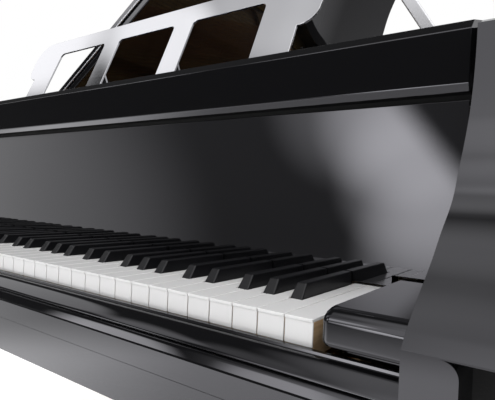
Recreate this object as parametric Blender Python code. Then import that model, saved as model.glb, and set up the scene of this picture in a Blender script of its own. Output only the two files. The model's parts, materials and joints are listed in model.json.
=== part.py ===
"""A grand piano in separate pieces, with its lid on the prop and its desk up.

Metres, +Z up, pianist's side at -Y, treble side at +X. Every piece is first
shaped in case coordinates: x from the middle of the keyboard, y from the front
edge of the arms, z from the floor. One empty then carries the whole piano so
that the middle of its floor area lies on the origin.
"""
import math

import bmesh
import bpy
from mathutils import Matrix, Vector

MM = 0.001
GAP = 0.3 * MM                 # clearance between pieces that touch
WELD = 0.01 * MM               # vertices closer than this are one vertex
ROD_SIDES = 8
PIN_SIDES = 12
DISC_SIDES = 16
CORNER_STEPS = 6

# Keyboard. Depths run back from the white keys' front edge.
WHITE_COUNT = 52
LOWER_WHITE_COUNT = 44         # white keys below the top octave
KEY_PITCH = 23.5 * MM
KEY_SPACE = 1.0 * MM
KEY_TOP = 725 * MM
KEY_FRONT = 31 * MM            # arms' front edge to the white keys' front edge
KEY_LENGTH = 385 * MM
KEY_END_SPACE = 3 * MM         # between the last keys and the key blocks
WHITE_HEAD = 49 * MM
WHITE_DEPTH = 27 * MM
BLACK_WIDTH = 12 * MM
BLACK_CREST_WIDTH = 9.5 * MM
BLACK_HEIGHT = 12 * MM
BLACK_SLOPE = 10 * MM
BLACK_STICK_TOP = 1.5 * MM
BLACK_STICK_DEPTH = 24 * MM
BLACK_STICK_WIDTH = 11 * MM
BLACK_SIDE_SPACE = 1.0 * MM
BLACK_FRONT_SPACE = 1.3 * MM   # a falling black key also tips forward
BLACK_STICK_SETBACK = 2.0 * MM
BLACK_SHIFT = {"C": -3.3 * MM, "D": 3.3 * MM, "F": -4 * MM, "G": 0.0, "A": 4 * MM}
KEY_PIVOT_DEPTH = 237 * MM
KEY_PIVOT_DROP = 24 * MM
KEY_BAR_HALF = 9 * MM          # half the depth of the bar that gangs the lower keys
WHITE_BAR_DROP = 33 * MM
BLACK_BAR_RISE = 7 * MM
BAR_CLEARANCE = 0.8 * MM       # room for the bars to tip with their keys

# Key frame and hammers, which slide together.
FRAME_THICKNESS = 10.7 * MM
HAMMER_SETBACK = 54 * MM       # hammers behind the ends of the keys
FRONT_RAIL = (3 * MM, 37 * MM)
FRONT_RAIL_DROP = 40 * MM
BALANCE_RAIL_HALF = 25 * MM
BACK_RAIL_DEPTH = 35 * MM
KEY_FRAME_SIDE_ROOM = 3 * MM
HAMMER_COUNT = 88
HAMMER_RAIL = (20 * MM, 40 * MM)
HAMMER_TOP = 92 * MM
HAMMER_DEPTH = 22 * MM
HAMMER_FILL = 0.66
ACTION_POSTS = 4
ACTION_POST_WIDTH = 12 * MM

# Case. Heights run from the white keys' tops, down for drops.
CASE_LENGTH = 2280 * MM
CASE_RISE = 248 * MM
CASE_DROP = 96 * MM
ARM_WIDTH = 85 * MM
ARM_BEHIND_BEAM = 1 * MM
KEY_BLOCK_WIDTH = 66 * MM
RIM_THICKNESS = 50 * MM
TAIL_WIDTH = 800 * MM
TAIL_DEPTH = 300 * MM
TAIL_STEP = 10
TAIL_START = 20
BENTSIDE_STEPS = 3
BENTSIDE_START = 471 * MM      # straight part of the treble side
# shares of the case's narrowing towards the tail, and of the way to the tail
BENTSIDE = [(0, 0), (0, 0.119), (0.019, 0.239), (0.101, 0.358), (0.293, 0.490), (0.608, 0.647),
            (0.748, 0.737), (0.868, 0.835), (0.977, 0.954)]
INNER_RIM_RISE = 94.7 * MM
KEYBED_THICKNESS = 35 * MM
KEYBED_FRONT = 3 * MM
# depth and height of the arm's curved front, both from the white keys' front top edge
ARM_CURVE = [(-31 * MM, 3 * MM), (-17 * MM, 16 * MM), (0, 28 * MM), (26 * MM, 45 * MM), (48 * MM, 64 * MM),
             (80 * MM, 86 * MM), (94 * MM, 110 * MM), (110 * MM, 131 * MM), (130 * MM, 165 * MM),
             (141 * MM, 205 * MM), (143 * MM, 248 * MM)]
ARM_NOSE_WIDTH = 30 * MM
ARM_NOSE_RISE = 2 * MM
ARM_RECESS = 40 * MM
# depth and drop of the key slip's moulded front
SLIP_PROFILE = [(-2.5 * MM, -19 * MM), (-9 * MM, -20 * MM), (-9.5 * MM, -22 * MM), (-18 * MM, -23 * MM),
                (-24 * MM, -27 * MM), (-19 * MM, -33 * MM), (-17 * MM, -35 * MM), (-21 * MM, -38 * MM),
                (-27 * MM, -41 * MM), (-28.5 * MM, -60.7 * MM), (-2.5 * MM, -60.7 * MM)]
BLOCK_RISE = 11.5 * MM
BLOCK_FRONT = -12 * MM
BLOCK_EDGE = [(-12 * MM, 3 * MM), (-10.5 * MM, 7 * MM), (-7 * MM, 10 * MM), (-1 * MM, 11.5 * MM)]
BEAM_FRONT = 150 * MM
BEAM_DEPTH = 36 * MM
BEAM_BOTTOM = 182 * MM
BEAM_BEVEL = 7 * MM
BEAM_TOP_BEVEL = 11 * MM
BEAM_END_STEP = 8 * MM

# Fallboard.
FALLBOARD_SETBACK = 5 * MM     # fallboard's face behind the beam's
KEY_TO_FALLBOARD = 1 * MM
FALLBOARD_THICKNESS = 18 * MM
FALLBOARD_BOTTOM = 2.5 * MM
FALLBOARD_TO_BEAM = 7 * MM
FALLBOARD_END_BOTTOM = 13 * MM
FALLBOARD_END_SPACE = 6 * MM
FALLBOARD_NOTCH_SPACE = 1 * MM
FALLBOARD_PIN_RADIUS = 2.5 * MM
FALLBOARD_PIN_PLACE = (3 * MM, 15 * MM)   # behind its face, above its bottom edge

# Sounding parts.
PLANK_SETBACK = 10 * MM        # pin block behind the music shelf's front
PLANK_HAMMER_SPACE = 25 * MM
PLANK_HEIGHT = (95 * MM, 117.7 * MM)
BOARD_THICKNESS = 9 * MM
BELLY_RAIL_SETBACK = 16 * MM   # belly rail behind the hammers
BELLY_RAIL_THICKNESS = 28 * MM
PLATE_HEIGHT = (118 * MM, 130 * MM)
PLATE_LIP = 10 * MM            # plate's web behind the pin block
PLATE_FLANGE = 55 * MM
STRUT_COUNT = 5
STRUT_WIDTH = 30 * MM
STRUT_NOTCH_SPACE = 3 * MM
BRIDGE_HEIGHT = 29.4 * MM
BRIDGE_WIDTH = 30 * MM
# the same shares as the bentside's
BRIDGE_LINE = [(0.236, 0.112), (0.304, 0.238), (0.441, 0.357), (0.647, 0.490), (0.921, 0.636), (1.126, 0.775),
               (1.304, 0.920), (1.479, 1.007)]
STRING_START = 315 * MM
STRING_BAR_DEPTH = 8 * MM
TREBLE_LEVEL = (134 * MM, 136 * MM)
TREBLE_COUNT = 30
TREBLE_FIRST = -290 * MM
TREBLE_SIDE_INSET = 135 * MM   # last treble string from the case's side
TREBLE_WIRE = 2.5 * MM
TREBLE_END_MARGIN = 130 * MM
TREBLE_TAIL_INSET = 320 * MM
BASS_LEVEL = (140 * MM, 142.4 * MM)
BASS_COUNT = 16
BASS_SIDE_INSET = 125 * MM     # first bass string from the case's side
BASS_LAST = -330 * MM
BASS_WIRE = 3.5 * MM
BASS_DRIFT = 286 * MM          # sideways run of a bass string over its length
BASS_TAIL_INSET = 430 * MM
DAMPER_COUNT = 69
DAMPER_SETBACK = 3 * MM        # dampers behind the hammers
DAMPER_LENGTH = 40 * MM
DAMPER_LEVEL = (142.7 * MM, 160 * MM)
DAMPER_FELT = 10 * MM
DAMPER_FILL = 0.72
BRACE_WIDTH = 70 * MM
BRACE_DROP = 10 * MM
BRACE_LINES = [-380 * MM, -190 * MM, 0, 190 * MM, 380 * MM]
BRACE_END_MARGIN = 5 * MM

# Music shelf, desk and strut.
SHELF_BEHIND_BEAM = 4 * MM
SHELF_DROP = 11 * MM           # below the case's top
SHELF_THICKNESS = 18 * MM
DESK_ANGLE = 66.5              # degrees above level
DESK_HINGE_DEPTH = 307 * MM
DESK_PLATE = (4.2 * MM, 8.2 * MM)
DESK_FOOT = -5.4 * MM
DESK_HEIGHT = 232 * MM
DESK_HALF_WIDTH = 419 * MM
DESK_LOWER_HALF_WIDTH = 381 * MM
DESK_STEP_HEIGHT = 122 * MM
DESK_STEP_RADIUS = 35 * MM
DESK_CORNER = 50 * MM
DESK_WINDOW_HALF = 85 * MM
DESK_MULLION = 50 * MM
DESK_WINDOW = (28 * MM, 189 * MM)
DESK_WINDOW_CORNER = 10 * MM
STRUT_STOP = 3 * MM            # shelf behind the strut's foot when the desk lies flat
STRUT_ARM = (14 * MM, 4 * MM)
STRUT_FOOT_RADIUS = 3.7 * MM

# Lid, flap and prop.
LID_OPEN = 32.0                # degrees
LID_THICKNESS = 24 * MM
LID_LIFT = 1 * MM              # lid's underside above the case's top when closed
LID_HINGE_OUT = 6 * MM
LID_HINGE_RISE = 1 * MM        # hinge axis above the lid's underside
LID_HINGE_RADIUS = 5.4 * MM
LID_HINGE_LEAF = (1.7 * MM, 44 * MM)
LID_HINGE_START = 200 * MM
LID_HINGE_TAIL_INSET = 330 * MM
LID_OVERHANG = 13 * MM
FLAP_THINNER = 2 * MM          # than the lid
FLAP_BARREL = 3 * MM
FLAP_LEAF = (0.85 * MM, 30 * MM)
FLAP_LEAF_GAP = 0.15 * MM
PROP_DESK_SPACE = 5 * MM       # between the folded desk and the prop's plane
PROP_SHELF_SPACE = 14 * MM
PROP_THICKNESS = 12 * MM
PROP_LID_SPACE = 4 * MM
PROP_WIDTH = 21 * MM
PROP_FOOT_INSET = 97 * MM      # prop's pivot from the case's treble side
PROP_FOOT_DROP = 83 * MM       # below the case's top
PROP_BRACKET = (13 * MM, 25 * MM)
PROP_SEAT = (36 * MM, 15 * MM)
PROP_SEAT_LENGTH = 65 * MM

# Legs, casters and lyre.
FRONT_LEG_INSET = (140 * MM, 250 * MM)   # from the case's side, from the arms' front edge
REAR_LEG_INSET = (15 * MM, 350 * MM)     # from the tail's middle, from the tail's end
CASTER_TURNS = {"front_bass": 35.0, "front_treble": -35.0, "rear": 90.0}
LEG_TOP_WIDTH = 118 * MM
LEG_FOOT_WIDTH = 72 * MM
LEG_BLOCK = 70 * MM
LEG_SHOULDER = 7 * MM          # how far the block stands out round the shaft
CASTER_HEIGHT = 86 * MM
CASTER_TRAIL = 24 * MM
CASTER_PLATE = 8 * MM
CASTER_PLATE_RADIUS = 30 * MM
WHEEL_RADIUS = 32 * MM
WHEEL_WIDTH = 25 * MM
WHEEL_SIDES = 24
FORK_WALL = 8 * MM
FORK_LENGTH = 40 * MM
FORK_BOTTOM = 20 * MM
LYRE_DEPTH = (405 * MM, 475 * MM)
LYRE_HALF_WIDTH = 140 * MM
LYRE_HEAD = 24 * MM
LYRE_COLUMN = 30 * MM
LYRE_COLUMN_PLACE = 45 * MM
PEDAL_BOX_DEPTH = (370 * MM, 505 * MM)
PEDAL_BOX_HALF_WIDTH = 130 * MM
PEDAL_BOX_HEIGHT = (62 * MM, 134 * MM)
PEDAL_PITCH = 66 * MM
PEDAL_WIDTH = 20 * MM
PEDAL_THICKNESS = 9 * MM
PEDAL_REACH = 320 * MM
PEDAL_TOE_RADIUS = 14 * MM
PEDAL_TOE_SWEEP = (200, 340)   # degrees of the toe's round end
PEDAL_SLOT = 25 * MM
PEDAL_SLOT_HEIGHT = (70 * MM, 118 * MM)
PEDAL_PIVOT_INSET = 17 * MM     # from the box's back
PEDAL_PIVOT_HEIGHT = 100 * MM
PEDAL_AXLE_RADIUS = 6 * MM
BRACE_ROD = 6 * MM
BRACE_FOOT = (100 * MM, 95 * MM)
BRACE_HEAD_DEPTH = 700 * MM

# Heights and widths that follow from the values above.
KEYBOARD_HALF_WIDTH = WHITE_COUNT * KEY_PITCH / 2
BLOCK_INSIDE = KEYBOARD_HALF_WIDTH + KEY_END_SPACE
BAY_HALF_WIDTH = BLOCK_INSIDE + KEY_BLOCK_WIDTH
CASE_HALF_WIDTH = BAY_HALF_WIDTH + ARM_WIDTH
NARROWING = 2 * CASE_HALF_WIDTH - TAIL_WIDTH
BENTSIDE_RUN = CASE_LENGTH - TAIL_DEPTH - BENTSIDE_START
ARM_DEPTH = KEY_FRONT + BEAM_FRONT + BEAM_DEPTH + ARM_BEHIND_BEAM
RIM_FRONT = ARM_DEPTH + GAP
CASE_BOTTOM = KEY_TOP - CASE_DROP
CASE_TOP = KEY_TOP + CASE_RISE
KEYBED_TOP = CASE_BOTTOM + KEYBED_THICKNESS
FALLBOARD_FRONT = BEAM_FRONT + FALLBOARD_SETBACK
HAMMER_PITCH = 2 * KEYBOARD_HALF_WIDTH / HAMMER_COUNT
HAMMER_FRONT = KEY_LENGTH + HAMMER_SETBACK
HAMMER_END = HAMMER_FRONT + HAMMER_DEPTH
DAMPER_DEPTH = (HAMMER_END + DAMPER_SETBACK, HAMMER_END + DAMPER_SETBACK + DAMPER_LENGTH)
BELLY_RAIL_FRONT = HAMMER_END + BELLY_RAIL_SETBACK
SHELF_TOP = CASE_TOP - SHELF_DROP
SHELF_FRONT = BEAM_FRONT + BEAM_DEPTH + SHELF_BEHIND_BEAM
PLANK_DEPTH = (SHELF_FRONT + PLANK_SETBACK, HAMMER_FRONT - PLANK_HAMMER_SPACE)
PROP_FRONT = DESK_HINGE_DEPTH + DESK_HEIGHT + PROP_DESK_SPACE
SHELF_END = PROP_FRONT - PROP_SHELF_SPACE
STRUT_LENGTH = (SHELF_END - DESK_HINGE_DEPTH - STRUT_STOP) / 2
FLAP_AXIS_DEPTH = PROP_FRONT + PROP_THICKNESS + PROP_LID_SPACE
FLAP_DEPTH = FLAP_AXIS_DEPTH - FLAP_BARREL - GAP - BEAM_FRONT
FLAP_THICKNESS = LID_THICKNESS - FLAP_THINNER
LEG_PLACES = {
    "front_bass": (FRONT_LEG_INSET[0] - CASE_HALF_WIDTH, FRONT_LEG_INSET[1]),
    "front_treble": (CASE_HALF_WIDTH - FRONT_LEG_INSET[0], FRONT_LEG_INSET[1]),
    "rear": (TAIL_WIDTH / 2 - CASE_HALF_WIDTH - REAR_LEG_INSET[0], CASE_LENGTH - REAR_LEG_INSET[1]),
}
PEDAL_PIVOT = (PEDAL_BOX_DEPTH[1] - PEDAL_PIVOT_INSET, PEDAL_PIVOT_HEIGHT)
LID_AXIS = Vector((-CASE_HALF_WIDTH - LID_HINGE_OUT, 0, CASE_TOP + LID_LIFT + LID_HINGE_RISE))
LID_BOTTOM = CASE_TOP + LID_LIFT

bench = {}                     # place of each object's origin in case coordinates
surfaces = {}
piano = None


def clear_scene():
    for obj in list(bpy.data.objects):
        bpy.data.objects.remove(obj)


def back(depth):
    """Depth from the arms' front edge of a place that lies depth behind the key fronts."""
    return KEY_FRONT + depth


def surface(name, colour, roughness, metallic=0.0):
    """One material, made once and shared."""
    if name not in surfaces:
        made = bpy.data.materials.new(name)
        made.use_nodes = True
        shader = made.node_tree.nodes["Principled BSDF"]
        shader.inputs["Base Color"].default_value = (*colour, 1.0)
        shader.inputs["Roughness"].default_value = roughness
        shader.inputs["Metallic"].default_value = metallic
        surfaces[name] = made
    return surfaces[name]


def black_lacquer():
    return surface("black_lacquer", (0.008, 0.008, 0.009), 0.06)


def steel():
    return surface("polished_steel", (0.72, 0.72, 0.74), 0.15, 1.0)


def brass():
    return surface("brass", (0.72, 0.52, 0.22), 0.2, 1.0)


def wood():
    return surface("bare_wood", (0.55, 0.38, 0.2), 0.6)


def place(name, solid, material, parent, pivot=None, turn=(0.0, 0.0, 0.0)):
    """Make a named object from a solid in case coordinates, with its origin on pivot."""
    anchor = bench[parent.name]
    origin = anchor if pivot is None else Vector(pivot)
    bmesh.ops.translate(solid, verts=solid.verts, vec=-origin)
    bmesh.ops.recalc_face_normals(solid, faces=solid.faces)
    mesh = bpy.data.meshes.new(name)
    solid.to_mesh(mesh)
    solid.free()
    mesh.materials.append(material)
    obj = bpy.data.objects.new(name, mesh)
    piano.objects.link(obj)
    obj.parent = parent
    obj.location = origin - anchor
    obj.rotation_euler = turn
    bench[name] = origin
    return obj


def empty(name, parent=None, pivot=(0, 0, 0), turn=(0.0, 0.0, 0.0)):
    """An empty that carries other objects."""
    obj = bpy.data.objects.new(name, None)
    piano.objects.link(obj)
    origin = Vector(pivot)
    if parent is not None:
        obj.parent = parent
        obj.location = origin - bench[parent.name]
    obj.rotation_euler = turn
    bench[name] = origin
    return obj


def box(low, high):
    """A box between two corners."""
    solid = bmesh.new()
    bmesh.ops.create_cube(solid, size=1.0)
    size = Vector(high) - Vector(low)
    middle = (Vector(high) + Vector(low)) / 2
    bmesh.ops.scale(solid, verts=solid.verts, vec=size)
    bmesh.ops.translate(solid, verts=solid.verts, vec=middle)
    return solid


def cylinder(start, end, radius, sides=PIN_SIDES, roll=0.0):
    """A round rod from start to end; roll turns its facets about its own axis."""
    start = Vector(start)
    run = Vector(end) - start
    solid = bmesh.new()
    bmesh.ops.create_cone(solid, cap_ends=True, segments=sides, radius1=radius, radius2=radius,
                          depth=run.length)
    lay = run.to_track_quat("Z", "Y").to_matrix().to_4x4()
    solid.transform(Matrix.Translation(start + run / 2) @ lay @ Matrix.Rotation(roll, 4, "Z"))
    return solid


def prism(outline, axis, low, high, holes=()):
    """A flat outline, with any holes, made solid between two planes square to axis.

    The outline's two coordinates are (x, y) for axis z, (y, z) for x and (x, z) for y.
    """
    curve = bpy.data.curves.new("outline", "CURVE")
    curve.dimensions = "2D"
    curve.fill_mode = "BOTH"
    curve.extrude = (high - low) / 2
    for loop in (outline, *holes):
        spline = curve.splines.new("POLY")
        spline.points.add(len(loop) - 1)
        for point, (u, v) in zip(spline.points, loop):
            point.co = (u, v, 0, 1)
        spline.use_cyclic_u = True
    carrier = bpy.data.objects.new("outline", curve)
    mesh = bpy.data.meshes.new_from_object(carrier)
    solid = bmesh.new()
    solid.from_mesh(mesh)
    bpy.data.objects.remove(carrier)
    bpy.data.curves.remove(curve)
    bpy.data.meshes.remove(mesh)
    bmesh.ops.remove_doubles(solid, verts=solid.verts, dist=WELD)
    middle = (low + high) / 2
    if axis == "z":
        solid.transform(Matrix.Translation((0, 0, middle)))
    elif axis == "y":
        solid.transform(Matrix.Translation((0, middle, 0)) @ Matrix.Rotation(math.pi / 2, 4, "X"))
    else:
        cycle = Matrix(((0, 0, 1, 0), (1, 0, 0, 0), (0, 1, 0, 0), (0, 0, 0, 1)))
        solid.transform(Matrix.Translation((middle, 0, 0)) @ cycle)
    bmesh.ops.recalc_face_normals(solid, faces=solid.faces)
    return solid


def gather(solids):
    """Several solids that don't meet, in one bmesh."""
    whole = bmesh.new()
    for solid in solids:
        mesh = bpy.data.meshes.new("piece")
        solid.to_mesh(mesh)
        solid.free()
        whole.from_mesh(mesh)
        bpy.data.meshes.remove(mesh)
    return whole


def combine(base, tools, operation="UNION"):
    """Join tools to a solid, or cut them from it, one after the other."""
    operands = []
    for solid in (base, *tools):
        bmesh.ops.recalc_face_normals(solid, faces=solid.faces)
        mesh = bpy.data.meshes.new("operand")
        solid.to_mesh(mesh)
        solid.free()
        operand = bpy.data.objects.new("operand", mesh)
        bpy.context.scene.collection.objects.link(operand)
        operands.append(operand)
    body = operands[0]
    for tool in operands[1:]:
        step = body.modifiers.new("step", "BOOLEAN")
        step.operation = operation
        step.object = tool
    graph = bpy.context.evaluated_depsgraph_get()
    result = bmesh.new()
    result.from_object(body, graph)
    for operand in operands:
        mesh = operand.data
        bpy.data.objects.remove(operand)
        bpy.data.meshes.remove(mesh)
    bmesh.ops.remove_doubles(result, verts=result.verts, dist=WELD)
    return result


def arc(centre, radius, start, end, steps):
    """Points of an arc, in degrees, both ends included."""
    points = []
    for i in range(steps + 1):
        angle = math.radians(start + (end - start) * i / steps)
        points.append((centre[0] + radius * math.cos(angle), centre[1] + radius * math.sin(angle)))
    return points


def smooth(knots, steps):
    """A smooth curve through all knots, with steps points for each span."""
    line = [Vector(knot) for knot in knots]
    line = [2 * line[0] - line[1]] + line + [2 * line[-1] - line[-2]]
    points = []
    for a, b, c, d in zip(line, line[1:], line[2:], line[3:]):
        for i in range(steps):
            t = i / steps
            spot = b + (c - a) * t / 2 + (2 * a - 5 * b + 4 * c - d) * t * t / 2
            spot = spot + (3 * b - a - 3 * c + d) * t ** 3 / 2
            points.append(tuple(spot))
    points.append(tuple(line[-2]))
    return points


def offset(path, distance):
    """The path moved sideways, to its left for a positive distance."""
    moved = []
    for i, spot in enumerate(path):
        before = Vector(path[max(i - 1, 0)])
        after = Vector(path[min(i + 1, len(path) - 1)])
        here = Vector(spot)
        first = (here - before).normalized() if i > 0 else (after - here).normalized()
        second = (after - here).normalized() if i < len(path) - 1 else first
        normal = Vector((-first.y - second.y, first.x + second.x)).normalized()
        reach = distance / max(normal.dot(Vector((-first.y, first.x))), 0.5)
        moved.append(tuple(here + normal * reach))
    return moved


def beside_tail(shares):
    """Plan places from shares of the case's narrowing and of the way to the tail."""
    return [(CASE_HALF_WIDTH - NARROWING * inset, BENTSIDE_START + BENTSIDE_RUN * depth) for inset, depth in shares]


def case_path(front):
    """The rim's outer line in plan, from the treble front round the tail to the bass front."""
    tail_middle = (TAIL_WIDTH / 2 - CASE_HALF_WIDTH, CASE_LENGTH - TAIL_DEPTH)
    tail = []
    for angle in range(TAIL_START, 180 + TAIL_STEP, TAIL_STEP):
        turn = math.radians(angle)
        tail.append((tail_middle[0] + TAIL_WIDTH / 2 * math.cos(turn),
                     tail_middle[1] + TAIL_DEPTH * math.sin(turn)))
    side = smooth(beside_tail(BENTSIDE) + tail[:1], BENTSIDE_STEPS)
    return [(CASE_HALF_WIDTH, front)] + side[:-1] + tail + [(-CASE_HALF_WIDTH, front)]


def far_edge(path, x):
    """The greatest depth at which a plan path crosses x."""
    best = 0.0
    for (x0, y0), (x1, y1) in zip(path, path[1:]):
        if min(x0, x1) <= x <= max(x0, x1) and x0 != x1:
            best = max(best, y0 + (y1 - y0) * (x - x0) / (x1 - x0))
    return best


def cut_at(path, front):
    """The part of a plan path behind a given depth, with its ends moved to that depth."""
    kept = [spot for spot in path if spot[1] > front]
    return [(kept[0][0], front)] + kept + [(kept[-1][0], front)]


def build_rim(case):
    """Outer rim, inner rim and the braces between them."""
    path = case_path(RIM_FRONT)
    shell = path + offset(path, RIM_THICKNESS)[::-1]
    place("rim", prism(shell, "z", CASE_BOTTOM, CASE_TOP), black_lacquer(), case)
    liner = offset(path, RIM_THICKNESS + GAP) + offset(path, ARM_WIDTH)[::-1]
    inner_top = KEY_TOP + INNER_RIM_RISE
    place("inner_rim", prism(liner, "z", CASE_BOTTOM, inner_top), wood(), case)

    inside = offset(path, ARM_WIDTH)
    rail = box((GAP - BAY_HALF_WIDTH, back(BELLY_RAIL_FRONT), CASE_BOTTOM),
               (BAY_HALF_WIDTH - GAP, back(BELLY_RAIL_FRONT + BELLY_RAIL_THICKNESS), inner_top))
    beams = []
    for x in BRACE_LINES:
        low = (x - BRACE_WIDTH / 2, back(BELLY_RAIL_FRONT) + GAP, CASE_BOTTOM)
        reach = min(far_edge(inside, x - BRACE_WIDTH / 2), far_edge(inside, x + BRACE_WIDTH / 2))
        high = (x + BRACE_WIDTH / 2, reach - BRACE_END_MARGIN, KEY_TOP - BRACE_DROP)
        beams.append(box(low, high))
    place("case_braces", combine(rail, beams), wood(), case)


def build_arm(case, name, side):
    """One arm, with its curved front and the recess under its outer part; side is +1 or -1."""
    front = [(back(depth), KEY_TOP + rise) for depth, rise in ARM_CURVE]
    nose = KEY_TOP + ARM_NOSE_RISE
    outline = front + [(ARM_DEPTH, CASE_TOP), (ARM_DEPTH, CASE_BOTTOM), (front[0][0], CASE_BOTTOM)]
    ends = sorted((side * BAY_HALF_WIDTH, side * CASE_HALF_WIDTH))
    arm = prism(outline, "x", *ends)
    recess_x = sorted((side * (BAY_HALF_WIDTH + ARM_NOSE_WIDTH), side * (CASE_HALF_WIDTH + ARM_WIDTH)))
    recess = box((recess_x[0], -ARM_WIDTH, CASE_BOTTOM - ARM_WIDTH), (recess_x[1], ARM_RECESS, nose))
    place(name, combine(arm, [recess], "DIFFERENCE"), black_lacquer(), case)


def build_front(case):
    """Keybed, key slip, key blocks and the beam over the fallboard."""
    side = BAY_HALF_WIDTH - GAP
    place("keybed", box((-side, KEYBED_FRONT, CASE_BOTTOM),
                        (side, back(BELLY_RAIL_FRONT) - GAP, KEYBED_TOP)), black_lacquer(), case)
    slip_bottom = KEYBED_TOP + GAP
    slip = [(back(depth), max(KEY_TOP + rise, slip_bottom)) for depth, rise in SLIP_PROFILE]
    place("key_slip", prism(slip, "x", -side, side), black_lacquer(), case)

    slip_back = back(SLIP_PROFILE[0][0]) + GAP
    slip_top = KEY_TOP + SLIP_PROFILE[0][1] + GAP
    edge = [(back(depth), KEY_TOP + rise) for depth, rise in BLOCK_EDGE]
    block = [(back(BLOCK_FRONT), slip_top)] + edge
    block += [(back(FALLBOARD_FRONT) - GAP, KEY_TOP + BLOCK_RISE), (back(FALLBOARD_FRONT) - GAP, slip_bottom),
              (slip_back, slip_bottom), (slip_back, slip_top)]
    place("key_block_bass", prism(block, "x", -side, -BLOCK_INSIDE), black_lacquer(), case)
    place("key_block_treble", prism(block, "x", BLOCK_INSIDE, side), black_lacquer(), case)

    face = back(BEAM_FRONT)
    low = KEY_TOP + BEAM_BOTTOM
    rear = face + BEAM_DEPTH
    beam = [(face + BEAM_BEVEL, low), (face, low + BEAM_BEVEL), (face, CASE_TOP - BEAM_TOP_BEVEL),
            (face + BEAM_BEVEL, CASE_TOP), (rear, CASE_TOP), (rear, low)]
    steps = []
    for sign in (-1, 1):
        ends = sorted((sign * (BAY_HALF_WIDTH - BEAM_END_STEP), sign * (BAY_HALF_WIDTH + BEAM_END_STEP)))
        steps.append(box((ends[0], face - BEAM_END_STEP, low - BEAM_END_STEP),
                         (ends[1], face + BEAM_END_STEP, CASE_TOP + BEAM_END_STEP)))
    place("front_beam", combine(prism(beam, "x", -side, side), steps, "DIFFERENCE"), black_lacquer(), case)


def build_fallboard(case):
    """The key cover, standing upright, with a pin at each end."""
    w, n = BAY_HALF_WIDTH - FALLBOARD_END_SPACE, BLOCK_INSIDE - FALLBOARD_NOTCH_SPACE
    low, step = KEY_TOP + FALLBOARD_BOTTOM, KEY_TOP + FALLBOARD_END_BOTTOM
    top = KEY_TOP + BEAM_BOTTOM - FALLBOARD_TO_BEAM
    face = back(FALLBOARD_FRONT)
    rear = face + FALLBOARD_THICKNESS
    board = box((-w, face, step), (w, rear, top))
    lower = box((-n, face, low), (n, rear, (step + top) / 2))
    axis = (face + FALLBOARD_PIN_PLACE[0], low + FALLBOARD_PIN_PLACE[1])
    reach = BAY_HALF_WIDTH - GAP
    root = w - 4 * FALLBOARD_PIN_RADIUS
    pins = []
    for side in (-1, 1):
        pins.append(cylinder((side * root, *axis), (side * reach, *axis), FALLBOARD_PIN_RADIUS, ROD_SIDES))
    place("fallboard", combine(board, [lower, *pins]), black_lacquer(), case, (0, *axis))


def strut_lines(inside):
    """Plan position of the plate's struts: middle x and far end."""
    span = 2 * (CASE_HALF_WIDTH - RIM_THICKNESS - PLATE_FLANGE)
    pitch = (span - STRUT_COUNT * STRUT_WIDTH) / (STRUT_COUNT + 1) + STRUT_WIDTH
    lines = []
    for i in range(STRUT_COUNT):
        x = (i - (STRUT_COUNT - 1) / 2) * pitch
        lines.append((x, far_edge(inside, x) + STRUT_WIDTH / 2))
    return lines


def build_sounding_parts(case):
    """Pin block, plate, soundboard and bridge."""
    room = CASE_HALF_WIDTH - RIM_THICKNESS - GAP
    place("wrest_plank", box((-room, back(PLANK_DEPTH[0]), KEY_TOP + PLANK_HEIGHT[0]),
                             (room, back(PLANK_DEPTH[1]), KEY_TOP + PLANK_HEIGHT[1])), wood(), case)
    path = case_path(RIM_FRONT)
    wall = offset(path, RIM_THICKNESS + GAP)
    board_bottom = KEY_TOP + INNER_RIM_RISE + GAP
    board = cut_at(wall, back(BELLY_RAIL_FRONT))
    spruce = surface("spruce", (0.72, 0.5, 0.24), 0.35)
    place("soundboard", prism(board, "z", board_bottom, board_bottom + BOARD_THICKNESS), spruce, case)

    low, high = (KEY_TOP + rise for rise in PLATE_HEIGHT)
    flange = offset(path, RIM_THICKNESS + PLATE_FLANGE)
    web = back(PLANK_DEPTH[1]) + PLATE_LIP
    ring = prism(cut_at(wall, back(PLANK_DEPTH[0])), "z", low, high, [cut_at(flange, web)])
    struts = []
    notches = []
    for x, end in strut_lines(flange):
        struts.append(box((x - STRUT_WIDTH / 2, web - STRUT_WIDTH / 2, low),
                          (x + STRUT_WIDTH / 2, end, high)))
        half = STRUT_WIDTH / 2 + STRUT_NOTCH_SPACE
        notches.append(box((x - half, web, low - GAP), (x + half, end + half, high + half)))
    gold = surface("bronze_paint", (0.55, 0.38, 0.14), 0.4, 0.6)
    place("iron_plate", combine(ring, struts), gold, case)

    line = smooth(beside_tail(BRIDGE_LINE), BENTSIDE_STEPS)
    band = offset(line, BRIDGE_WIDTH / 2) + offset(line, -BRIDGE_WIDTH / 2)[::-1]
    foot = board_bottom + BOARD_THICKNESS + GAP
    bridge = prism(band, "z", foot, foot + BRIDGE_HEIGHT - GAP)
    place("string_bridge", combine(bridge, notches, "DIFFERENCE"), wood(), case)


def wire_comb(places, width, start, ends, shift, level, bar):
    """Wires side by side, all starting from one bar that stands on the plate."""
    solids = []
    for x, end in zip(places, ends):
        wire = [(x - width / 2, start), (x + width / 2, start),
                (x + width / 2 + shift, end), (x - width / 2 + shift, end)]
        solids.append(prism(wire, "z", *level))
    bar_low = KEY_TOP + PLATE_HEIGHT[1] + GAP
    rail = box((bar[0], start - STRING_BAR_DEPTH / 2, bar_low),
               (bar[1], start + STRING_BAR_DEPTH / 2, (level[0] + level[1]) / 2))
    return combine(rail, [gather(solids)])


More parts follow.
